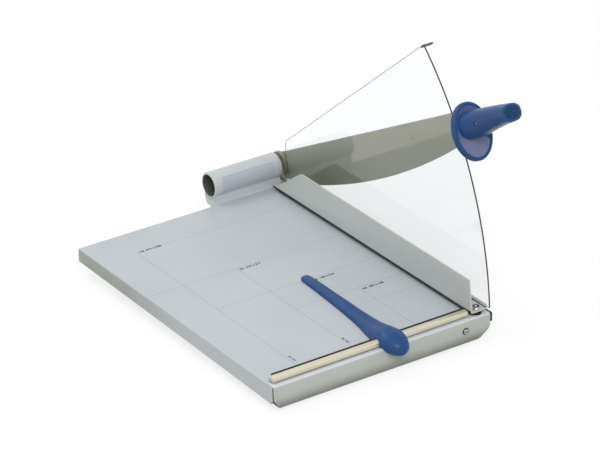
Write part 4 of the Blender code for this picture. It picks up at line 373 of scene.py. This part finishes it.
def blend_colours(tree, factor, first, second):
    """The colour between two, by a value. The first may be the output of another node."""
    mix = tree.nodes.new("ShaderNodeMix")
    mix.data_type = "RGBA"
    mix.inputs[MIX_SECOND].default_value = (*second, 1)
    if isinstance(first, tuple):
        mix.inputs[MIX_FIRST].default_value = (*first, 1)
    else:
        tree.links.new(first, mix.inputs[MIX_FIRST])
    tree.links.new(factor, mix.inputs[MIX_FACTOR])
    return mix.outputs[MIX_COLOUR]


def bump(tree, height, strength, distance):
    """A bump's normal from a height."""
    node = tree.nodes.new("ShaderNodeBump")
    node.inputs["Strength"].default_value = strength
    node.inputs["Distance"].default_value = distance
    tree.links.new(height, node.inputs["Height"])
    return node.outputs["Normal"]


def finish(name, light, dark, rough, metal=0.0, driver=None, bump_by=(0.15, 0.00004), shades=(), **sockets):
    """A finish between two colours and two roughnesses, turning to other colours where masks say so."""
    material = bpy.data.materials.new(name)
    material.use_nodes = True
    tree = material.node_tree
    shader = tree.nodes["Principled BSDF"]
    shader.inputs["Metallic"].default_value = metal
    for socket, value in sockets.items():
        shader.inputs[socket.replace("_", " ")].default_value = value
    mottle = effect(tree, MOTTLE)
    if driver is None:
        tone = mottle.outputs["Cloud"]
        height = mottle.outputs["Grain"]
    else:
        group, scale = driver
        tone = height = effect(tree, group, Scale=scale).outputs["Streaks"]
    colour = blend_colours(tree, spread(tree, tone, 0.0, 1.0), light, dark)
    for group, other, values in shades:
        colour = blend_colours(tree, effect(tree, group, **values).outputs["Mask"], colour, other)
    tree.links.new(colour, shader.inputs["Base Color"])
    tree.links.new(spread(tree, mottle.outputs["Cloud"], *rough), shader.inputs["Roughness"])
    tree.links.new(bump(tree, height, *bump_by), shader.inputs["Normal"])
    return material


# %% [markdown]
# ## Shades that come in along an axis
# A shade is a mask, the colour that it brings in, and the mask's values. Most of
# them come in between two heights above the table, given in millimetres, and most
# of them paint in shade and light.


# %% Helpers for shades
def by_height(high_mm, low_mm, colour, amount=1.0):
    """A shade that comes in between two heights above the table."""
    return FADE_Z, colour, {"Start": CORNER.z + high_mm * MM, "End": CORNER.z + low_mm * MM, "Amount": amount}


def by_depth(front_mm, back_mm, colour):
    """A shade that comes in between two distances behind the paper corner."""
    return FADE_Y, colour, {"Start": CORNER.y + front_mm * MM, "End": CORNER.y + back_mm * MM, "Amount": 1.0}


# %% [markdown]
# ## The finishes
# Colours are linear values, chosen by comparing renders with the photograph.
# The sheet metal is powder coated in one cool light grey, and the frame below the
# table is a shade greener. The left skirt is that grey a little lighter, as painted
# light, turns olive and darker towards the back with painted shade, and is dark along
# its lowest edge. The front channel darkens downwards with painted shade, and the
# clamp's wall has a painted black shadow along its foot, where the gap under it shows.

# %% Mix the paints
table_paint = finish("table_paint", (0.480, 0.518, 0.545), (0.450, 0.488, 0.515), (0.42, 0.50))
# The skirt's side is the table's grey a little lighter, as painted light, and turns olive and darker towards
# the back as painted shade.
skirt_paint = finish(
    "skirt_paint", (0.530, 0.565, 0.585), (0.500, 0.535, 0.555), (0.42, 0.50),
    shades=(by_depth(170, 440, (0.32, 0.35, 0.30)), by_height(-24.6, -26.2, (0.085, 0.090, 0.075))),
)
# The frame's paint darkens towards the bottom as painted shade, for the channel's lower fold turning under.
frame_paint = finish(
    "frame_paint", (0.485, 0.515, 0.480), (0.450, 0.480, 0.445), (0.38, 0.48),
    shades=(by_height(-16, -36, (0.165, 0.180, 0.145)),),
)
fold_paint = finish("fold_paint", (0.62, 0.64, 0.68), (0.58, 0.60, 0.64), (0.30, 0.38))
clamp_paint = finish("clamp_paint", (0.540, 0.570, 0.550), (0.505, 0.535, 0.515), (0.40, 0.48))
# The clamp's wall is painted black along its foot, a painted shadow for the gap under it.
wall_paint_painted_shadow = finish(
    "wall_paint_painted_shadow", (0.540, 0.570, 0.550), (0.505, 0.535, 0.515), (0.40, 0.48),
    shades=(by_height(9.2, 8.8, (0.006, 0.007, 0.006), amount=1.2),),
)
# The housing's paint is lighter low down on its flange, as painted light.
housing_paint = finish(
    "housing_paint", (0.520, 0.550, 0.565), (0.480, 0.510, 0.525), (0.30, 0.42),
    shades=(by_height(6, -3, (0.660, 0.690, 0.705)),),
)
label_grey = finish("label_grey", (0.440, 0.475, 0.515), (0.410, 0.445, 0.485), (0.34, 0.46))
bore_painted_shade = finish("bore_painted_shade", (0.085, 0.100, 0.075), (0.060, 0.072, 0.055), (0.50, 0.65))
ink = finish("ink", (0.030, 0.034, 0.085), (0.020, 0.024, 0.065), (0.5, 0.6))
line_ink = finish("line_ink", (0.28, 0.31, 0.36), (0.24, 0.27, 0.32), (0.5, 0.6))
print("paints mixed")

# %% [markdown]
# ## Plastics and rubber
# The guard and the grip are moulded in one blue. The guard's dished face is finely
# grained, and paler low down with a painted highlight. The grip's end face is
# painted darker, as painted shade.

# %% Mix the plastics and the rubber
blue_plastic = finish(
    "blue_plastic", (0.023, 0.076, 0.222), (0.018, 0.064, 0.190), (0.24, 0.34), Specular_IOR_Level=0.16,
)
# The dished face is grained, and paler low down as a painted highlight.
guard_grain_painted_highlight = finish(
    "guard_grain_painted_highlight", (0.060, 0.085, 0.230), (0.045, 0.068, 0.195), (0.34, 0.46), bump_by=(0.3, 0.0001),
    shades=(by_height(266, 246, (0.140, 0.168, 0.290)),),
)
# The grip's end face is painted dark, as painted shade.
grip_end_painted_shade = finish(
    "grip_end_painted_shade", (0.006, 0.042, 0.110), (0.004, 0.034, 0.090), (0.50, 0.62), Specular_IOR_Level=0.25,
)
nylon = finish("nylon", (0.74, 0.73, 0.67), (0.68, 0.67, 0.60), (0.42, 0.55))
rubber = finish("rubber", (0.020, 0.020, 0.021), (0.012, 0.012, 0.013), (0.62, 0.80), bump_by=(0.4, 0.0001))
print("plastics and rubber mixed")

# %% [markdown]
# ## Metals
# The blade is ground steel with an olive tone, the rail is brushed along its length,
# and the screws are zinc plated, blackened or plain.

# %% Mix the metals
# The rail is darker along its foot, as painted shade where it meets the channel.
champagne = finish(
    "champagne", (0.70, 0.67, 0.55), (0.62, 0.59, 0.46), (0.28, 0.38), metal=0.70, driver=(STREAKS_X, 700.0),
    shades=(by_height(3.6, 2.0, (0.30, 0.27, 0.21), amount=0.8),),
)
blade_steel = finish(
    "blade_steel", (0.390, 0.387, 0.280), (0.343, 0.343, 0.244), (0.36, 0.46), metal=0.28,
    driver=(STREAKS_ARM, 900.0), bump_by=(0.05, 0.00002),
)
alloy = finish(
    "alloy", (0.43, 0.44, 0.38), (0.38, 0.39, 0.33), (0.30, 0.42), metal=0.8, driver=(STREAKS_ARM, 600.0),
)
hub_steel = finish("hub_steel", (0.285, 0.290, 0.225), (0.240, 0.245, 0.190), (0.36, 0.48), metal=0.3)
screw_steel = finish("screw_steel", (0.42, 0.43, 0.37), (0.34, 0.35, 0.30), (0.30, 0.42), metal=0.6)
zinc = finish("zinc", (0.72, 0.72, 0.70), (0.62, 0.62, 0.60), (0.22, 0.38), metal=1.0)
black_steel = finish("black_steel", (0.022, 0.022, 0.022), (0.014, 0.014, 0.014), (0.34, 0.46), metal=0.4)
fitting_painted_shade = finish("fitting_painted_shade", (0.030, 0.031, 0.030), (0.018, 0.019, 0.018), (0.40, 0.52))
bronze = finish("bronze", (0.56, 0.40, 0.17), (0.45, 0.31, 0.12), (0.30, 0.44), metal=0.9)
print("finishes", len(bpy.data.materials))

# %% [markdown]
# ## The clear guard's material
# The guard is a thin clear sheet. Glass in Cycles bends light at both faces, so a
# sheet with two faces looks right by itself. Its sawn edges are matt, and their
# finishes paint in shade and light: dark in front, grey on top and pale at the back.

# %% Mix the clear sheet and its edges
edge_painted_shade = finish("edge_painted_shade", (0.055, 0.048, 0.036), (0.038, 0.034, 0.027), (0.30, 0.42))
edge_painted_half_shade = finish("edge_painted_half_shade", (0.055, 0.055, 0.050), (0.040, 0.040, 0.036), (0.40, 0.52))
edge_painted_light = finish("edge_painted_light", (0.420, 0.400, 0.450), (0.360, 0.350, 0.390), (0.30, 0.42))
clear_sheet = bpy.data.materials.new("clear_sheet")
clear_sheet.use_nodes = True
tree = clear_sheet.node_tree
shader = tree.nodes["Principled BSDF"]
shader.inputs["Transmission Weight"].default_value = 1.0
shader.inputs["IOR"].default_value = 1.45
cloud = effect(tree, MOTTLE).outputs["Cloud"]
tint = blend_colours(tree, spread(tree, cloud, 0.0, 1.0), (0.965, 0.980, 0.990), (0.955, 0.974, 0.985))
tree.links.new(tint, shader.inputs["Base Color"])
tree.links.new(spread(tree, cloud, 0.02, 0.05), shader.inputs["Roughness"])
print("clear sheet mixed")

# %% [markdown]
# ## Smooth copies of the solids
# The CAD solids come in as loose flat triangles. A copy is welded, its flat areas
# are joined into whole faces, and its round areas are shaded smooth. A very small
# bevel on the sharp edges catches the light as a real edge does.
# The copy then stands for its node, which stays behind it for collision.

# %% A helper for smooth copies
WELD = 0.00001
FLAT = math.radians(0.6)
SMOOTH = math.radians(32)
EDGE_SEGMENTS = 2


def dress(node, material, edge_mm=0.0, parts=()):
    """A welded, smooth-shaded copy of a CAD node in a finish, with other finishes on chosen faces."""
    bm = bmesh.new()
    bm.from_mesh(frame["nodes"][node].data)
    bmesh.ops.remove_doubles(bm, verts=bm.verts, dist=WELD)
    bmesh.ops.dissolve_limit(bm, angle_limit=FLAT, verts=bm.verts, edges=bm.edges)
    bm.normal_update()
    for index, (_, chosen) in enumerate(parts, 1):
        for face in bm.faces:
            if chosen(face):
                face.material_index = index
    mesh = mesh_from(bm, node + "_dressed")
    if "custom_normal" in mesh.attributes:
        mesh.attributes.remove(mesh.attributes["custom_normal"])
    mesh.shade_smooth()
    mesh.set_sharp_from_angle(angle=SMOOTH)
    for own in (material, *(part for part, _ in parts)):
        mesh.materials.append(own)
    piece = put(node + "_dressed", mesh)
    if edge_mm:
        bevel = piece.modifiers.new("edge", "BEVEL")
        bevel.width = edge_mm * MM
        bevel.segments = EDGE_SEGMENTS
        bevel.limit_method = "ANGLE"
        bevel.angle_limit = SMOOTH
        bevel.harden_normals = True
    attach(piece, frame["nodes"][node]["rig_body"])
    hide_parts(node)
    return piece


# %% [markdown]
# ## Dress the sheet metal, the castings and the moulded parts
# The folded sheets get an edge of a quarter of a millimetre. The moulded plastic
# keeps the rounding that its solids have.

# %% Dress the large pieces
DRESSES = (
    ("side_beam", frame_paint, 0.25),
    ("front_bracket", frame_paint, 0.2),
    ("cross_rib_1", frame_paint, 0.3),
    ("cross_rib_2", frame_paint, 0.3),
    ("cross_rib_3", frame_paint, 0.3),
    ("blade", blade_steel, 0.1),
    ("arm_bar", alloy, 0.0),
    ("fixed_blade", black_steel, 0.1),
    ("gauge_arm", blue_plastic, 0.0),
    ("clamp_rubber", rubber, 0.1),
)
for node, material, edge_mm in DRESSES:
    dress(node, material, edge_mm)
print("dressed", len(DRESSES), "large pieces")

# %% [markdown]
# ## Pieces with more than one finish
# Some faces of a piece get a finish of their own. They are found by where they are
# and which way they look. The table's left skirt and its narrow front end, the
# channel's top and the clamp's wall differ from the rest of their pieces.

# %% Dress the table, the channel and the clamp
LEFT_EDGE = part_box("table_plate")[0].x
SKIRT_MM = 2
SQUARE_ON = 0.8
CHANNEL_TOP_RISE = 0.6
CLAMP_WALL_LEAN = -0.7


def in_skirt(face):
    """A face within the thickness of the table's left skirt."""
    return face.calc_center_median().x < LEFT_EDGE + SKIRT_MM * MM


def on_left_skirt(face):
    """The outer side of the table's left skirt."""
    return face.normal.x < -SQUARE_ON and in_skirt(face)


def on_skirt_end(face):
    """The narrow front end of the left skirt, painted dark as the shade of a thin gap."""
    return face.normal.y < -SQUARE_ON and in_skirt(face)


def on_channel_top(face):
    """The channel's level top, in front of the rail."""
    return face.normal.z > CHANNEL_TOP_RISE


def on_clamp_wall(face):
    """The clamp's tall wall on the table's side, with a painted shadow along its foot."""
    return face.normal.x < CLAMP_WALL_LEAN


dress("table_plate", table_paint, 0.25, parts=((skirt_paint, on_left_skirt), (edge_painted_shade, on_skirt_end)))
dress("front_channel", frame_paint, 0.25, parts=((fold_paint, on_channel_top),))
dress("clamp_bar", clamp_paint, 0.25, parts=((wall_paint_painted_shadow, on_clamp_wall),))
print("dressed the table, the channel and the clamp")

# %% [markdown]
# ## The clear sheet's edges
# The sheet's sawn edges are told apart by how far they look to the front or the
# back. The saw's chamfer along the slanting top is what shows as a grey line from
# the camera, so that long edge is broken on the side of the table.

# %% Dress the clear sheet
EDGE_LEAN = 0.4
FRONT_LEAN = -0.55
BACK_LEAN = 0.9
SIDE_LEAN = -0.5
TOP_RISE = 0.3
SAWN_MM = 1.1
SHEET_SLOT, TOP_EDGE_SLOT = 0, 2


def on_front_edge(face):
    """The curved front edge of the clear sheet."""
    return abs(face.normal.x) < EDGE_LEAN and face.normal.y < FRONT_LEAN


def on_top_edge(face):
    """The slanting top edge and the foot of the clear sheet."""
    return abs(face.normal.x) < EDGE_LEAN and FRONT_LEAN <= face.normal.y <= BACK_LEAN


def on_back_edge(face):
    """The upright back edge of the clear sheet."""
    return abs(face.normal.x) < EDGE_LEAN and face.normal.y > BACK_LEAN


def is_sawn_edge(edge):
    """The long left edge of the clear sheet's slanting top."""
    slots = sorted(face.material_index for face in edge.link_faces)
    return slots == [SHEET_SLOT, TOP_EDGE_SLOT] and all(
        face.normal.x < SIDE_LEAN or face.normal.z > TOP_RISE for face in edge.link_faces
    )


# Each sawn edge gets painted shade or painted light by which way it looks.
sheet_edges = ((edge_painted_shade, on_front_edge), (edge_painted_half_shade, on_top_edge), (edge_painted_light, on_back_edge))
clear = dress("shield", clear_sheet, parts=sheet_edges)
bm = bmesh.new()
bm.from_mesh(clear.data)
sawn = [edge for edge in bm.edges if is_sawn_edge(edge)]
chamfers = bmesh.ops.bevel(
    bm, geom=sawn, offset=SAWN_MM * MM, segments=1, profile=0.5, affect="EDGES", material=-1
)["faces"]
for face in chamfers:
    face.material_index = TOP_EDGE_SLOT
bm.to_mesh(clear.data)
bm.free()
clear.data.set_sharp_from_angle(angle=SMOOTH)
print("broke", len(sawn), "sawn edges")

# %% [markdown]
# ## The rail
# The rail is drawn metal with a slightly rounded edge, and a strip of rubber lies
# under and behind it.

# %% Dress the rail
dress("paper_rail", champagne, 0.4)
dress("rail_gasket", rubber, 0.1)
print("rail dressed")

# %% [markdown]
# ## The housing
# Its bore is painted dark inside, as painted shade in the deep recess. Its label
# recess, left bare here, is a shade darker than the paint round it. Both are found by
# how far they lie from the pivot's axis. The paint is lighter low down on the flange,
# as painted light.

# %% Dress the housing
PIVOT = place(0.0, 500.0, 25.0)
BORE_RIGHT = place(-60.0, 0.0, 0.0).x
BORE_MIDDLE_MM = 17.2
BORE_RIM_MM = 17.9
LABEL_FROM_MM = 18.5
LABEL_TO_MM = 19.2


def off_axis(point):
    """How far a point lies from the pivot's axis, in millimetres."""
    return math.hypot(point.y - PIVOT.y, point.z - PIVOT.z) / MM


def in_bore(face):
    """A face inside the housing's open left end."""
    middle = face.calc_center_median()
    return off_axis(middle) < BORE_MIDDLE_MM and middle.x < BORE_RIGHT and all(
        off_axis(vert.co) < BORE_RIM_MM for vert in face.verts
    )


def on_label(face):
    """The floor of the bare label recess."""
    radii = [off_axis(vert.co) for vert in face.verts]
    in_front = face.calc_center_median().y < PIVOT.y
    return in_front and max(radii) < LABEL_TO_MM and min(radii) > LABEL_FROM_MM


dress("pivot_housing", housing_paint, parts=((bore_painted_shade, in_bore), (label_grey, on_label)))
print("dressed the housing")

# %% [markdown]
# ## The guard and the grip
# Both stand square to the arm, which is 27.3 degrees above level in the photograph.
# The guard's dished face and the grip's end face are the faces that look
# straight out along it and are large enough, in square metres.

# %% Dress the guard and the grip
ARM_LIFT = math.radians(27.3)
ARM_OUT = Vector((0, -math.cos(ARM_LIFT), math.sin(ARM_LIFT)))
STRAIGHT_OUT = 0.99
GUARD_FACE_AREA = 0.0010
GRIP_END_AREA = 0.0003


def on_guard_face(face):
    """The wide dished face round the grip."""
    return face.normal.dot(ARM_OUT) > STRAIGHT_OUT and face.calc_area() > GUARD_FACE_AREA


def on_grip_end(face):
    """The grip's end face, painted dark as painted shade."""
    return face.normal.dot(ARM_OUT) > STRAIGHT_OUT and face.calc_area() > GRIP_END_AREA


dress("finger_guard", blue_plastic, parts=((guard_grain_painted_highlight, on_guard_face),))
dress("handle_grip", blue_plastic, parts=((grip_end_painted_shade, on_grip_end),))
print("dressed the guard and the grip")

# %% [markdown]
# ## Rings of painted shade round the bright heads
# The clamp's front pin carries a thin dark ring of painted shade round its bright
# middle, and the screws of the grip and of the channel each sit in one, as the shade of their holes.
# A ring is a small rectangle, spun once round the axis of its pin or screw.

# %% Lay the rings
RING_MM = 0.5
RING_STEPS = 32


def washer(name, node, axis, body, sink_mm, inner_mm, outer_mm):
    """A flat ring of painted shade, sunk a little below the outer end of a pin or a screw."""
    low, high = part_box(node)
    middle = (low + high) / 2
    out = Vector(axis)
    reach = max(out.dot(corner - middle) for corner in (low, high))
    seat = middle + out * (reach - sink_mm * MM)
    across = out.orthogonal().normalized()
    outline = ((inner_mm, 0.0), (outer_mm, 0.0), (outer_mm, RING_MM), (inner_mm, RING_MM))
    bm = bmesh.new()
    ring = [bm.verts.new(seat + across * radius * MM + out * rise * MM) for radius, rise in outline]
    for start, vert in enumerate(ring):
        bm.edges.new((vert, ring[(start + 1) % len(ring)]))
    bmesh.ops.spin(
        bm, geom=bm.verts[:] + bm.edges[:], cent=seat, axis=out, angle=math.tau, steps=RING_STEPS,
        use_merge=True,
    )
    bmesh.ops.recalc_face_normals(bm, faces=bm.faces)
    mesh = mesh_from(bm, name)
    mesh.materials.append(fitting_painted_shade)
    piece = put(name, mesh)
    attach(piece, body)
    print(name, "at", [round(value, 4) for value in seat])


washer("pin_shade_ring", "guide_pin_front", (0, 0, 1), "clamp", sink_mm=0.1, inner_mm=2.6, outer_mm=4.9)
washer("grip_shade_ring", "handle_screw", (-1, 0, 0), "arm", sink_mm=0.5, inner_mm=2.2, outer_mm=3.9)
washer("front_shade_ring", "front_screw", (0, -1, 0), "base", sink_mm=2.5, inner_mm=3.9, outer_mm=5.2)

# %% [markdown]
# ## The blade's heel
# Behind the clamp the blade is wider: its heel reaches down past the table's level,
# so no gap shows between the pivot and the clamp. It is a flat plate from a
# polygon, a little thinner than the blade, and lies inside the blade where they meet.

# %% Shape the heel
HEEL_OUTLINE = (
    (432, 19), (450, 4), (470, -9), (490, -12.5), (506, -9), (515, 2), (517, 14), (500, 22), (450, 30),
)
HEEL_LEFT_MM = 0.5
HEEL_MM = 3.4
HEEL_EDGE_MM = 0.3
bm = bmesh.new()
side = bm.faces.new([bm.verts.new(place(HEEL_LEFT_MM, y, z)) for y, z in HEEL_OUTLINE])
grown = bmesh.ops.extrude_face_region(bm, geom=[side])["geom"]
moved = [part for part in grown if isinstance(part, bmesh.types.BMVert)]
bmesh.ops.translate(bm, vec=(HEEL_MM * MM, 0, 0), verts=moved)
bmesh.ops.recalc_face_normals(bm, faces=bm.faces)
heel_mesh = mesh_from(bm, "blade_heel")
heel_mesh.materials.append(blade_steel)
heel = put("blade_heel", heel_mesh)
bevel = heel.modifiers.new("edge", "BEVEL")
bevel.width = HEEL_EDGE_MM * MM
bevel.segments = EDGE_SEGMENTS
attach(heel, "arm")
print("heel shaped")

# %% [markdown]
# ## Dress the hardware
# Pins, screws, nuts and bushes are turned or cold headed, so they only need
# smooth sides.

# %% Dress the small pieces
HARDWARE = (
    (zinc, "handle_screw guide_pin_front guide_pin_rear shield_screw_1 shield_screw_2 shield_screw_3"),
    (zinc, "rail_screw_1 rail_screw_2 rail_screw_3 housing_bolt_1 housing_bolt_2 housing_bolt_3"),
    (zinc, "pivot_shaft spring_washer lock_nut hub_nut pivot_spring gauge_spring"),
    # The guide bushes and the clamp's springs are painted black, as painted shade for the dark band under the
    # clamp's front end.
    (fitting_painted_shade, "guide_bush_front guide_bush_rear clamp_spring_front clamp_spring_rear"),
    (hub_steel, "thrust_washer clamp_cam"),
    (screw_steel, "blade_screw_1 blade_screw_2 front_screw"),
    (black_steel, "fixed_blade_screw_1 fixed_blade_screw_2 fixed_blade_screw_3 fixed_blade_screw_4"),
    (bronze, "bush_left bush_right"),
    (rubber, "foot_1 foot_2 foot_3 foot_4"),
    (nylon, "gauge_shoe"),
)
small = [dress(node, material) for material, names in HARDWARE for node in names.split()]
print("dressed", len(small), "small pieces")

# %% [markdown]
# ## The clamp's springs
# The clamp carries the upper ends of its two springs. The dressed copy of each
# spring gets a mesh of its own.

# %% Give the clamp's springs meshes of their own
for node in ("clamp_spring_front", "clamp_spring_rear"):
    low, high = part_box(node)
    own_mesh(bpy.data.objects[node + "_dressed"])

# %% [markdown]
# ## The printed formats
# The table is printed with the outlines of the common paper formats, all measured
# from the corner at the rail and the blade. Each line is a very thin strip of ink
# that lies on the paint, and each format has its name and size beside its corner.

# %% Print the format lines
INK_MM = 0.02
LINE_MM = 0.6
RIGHT_END = -32.0
LINES = (
    ((-297.0, 3.0), (-297.0, 420.0)),
    ((RIGHT_END, 420.0), (-297.0, 420.0)),
    ((-210.0, 3.0), (-210.0, 297.0)),
    ((RIGHT_END, 297.0), (-352.0, 297.0)),
    ((-148.0, 3.0), (-148.0, 210.0)),
    ((RIGHT_END, 210.0), (-297.0, 210.0)),
    ((-105.0, 3.0), (-105.0, 148.0)),
    ((RIGHT_END, 148.0), (-210.0, 148.0)),
    ((RIGHT_END, 105.0), (-148.0, 105.0)),
)
bm = bmesh.new()
for (x0, y0), (x1, y1) in LINES:
    low = place(min(x0, x1) - LINE_MM / 2, min(y0, y1) - LINE_MM / 2, INK_MM / 2)
    high = place(max(x0, x1) + LINE_MM / 2, max(y0, y1) + LINE_MM / 2, INK_MM)
    strip = bmesh.ops.create_cube(bm, size=1.0)["verts"]
    bmesh.ops.scale(bm, vec=high - low, verts=strip)
    bmesh.ops.translate(bm, vec=(low + high) / 2, verts=strip)
mesh = mesh_from(bm, "format_lines")
mesh.materials.append(line_ink)
format_lines = put("format_lines", mesh)
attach(format_lines, "base")
print("printed", len(LINES), "lines")

# %% Print the format names
BOLD_SHARE = 0.075
LETTER_SPACE = 1.1
LETTER_STEPS = 3
LETTER_LIFT = 0.8
ALONG_BACK = -math.pi / 2


def print_text(name, words, x, y, height, turned=0.0):
    """Flat, bold ink letters on the table, as a mesh with its place applied."""
    curve = bpy.data.curves.new(name, "FONT")
    curve.body = words
    curve.size = height * MM
    curve.offset = height * MM * BOLD_SHARE
    curve.space_character = LETTER_SPACE
    curve.resolution_u = LETTER_STEPS
    curve.extrude = INK_MM * MM / 4
    holder = put(name, curve)
    bpy.context.view_layer.update()
    graph = bpy.context.evaluated_depsgraph_get()
    mesh = bpy.data.meshes.new_from_object(holder.evaluated_get(graph))
    bpy.data.objects.remove(holder)
    mesh.transform(Matrix.Translation(place(x, y, INK_MM * LETTER_LIFT)) @ Matrix.Rotation(turned, 4, "Z"))
    mesh.materials.clear()
    mesh.materials.append(ink)
    piece = put(name, mesh)
    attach(piece, "base")


LABELS = (
    ("label_a3", "A3  297 x 420", -292.5, 418.6, 5.4),
    ("label_a4", "A4  210 x 297", -207.8, 289.6, 5.4),
    ("label_a5", "A5  148 x 210", -143.0, 201.6, 5.4),
    ("label_a6", "A6  105 x 148", -103.0, 139.6, 5.4),
    ("label_a4_wide", "A4  297", -293.4, 41.0, 4.6, ALONG_BACK),
    ("label_a5_wide", "A5  210", -207.2, 41.0, 4.6, ALONG_BACK),
)
for label in LABELS:
    print_text(*label)
print("printed", len(LABELS), "names")

# %% [markdown]
# ## Finish

# %% Finish
import json
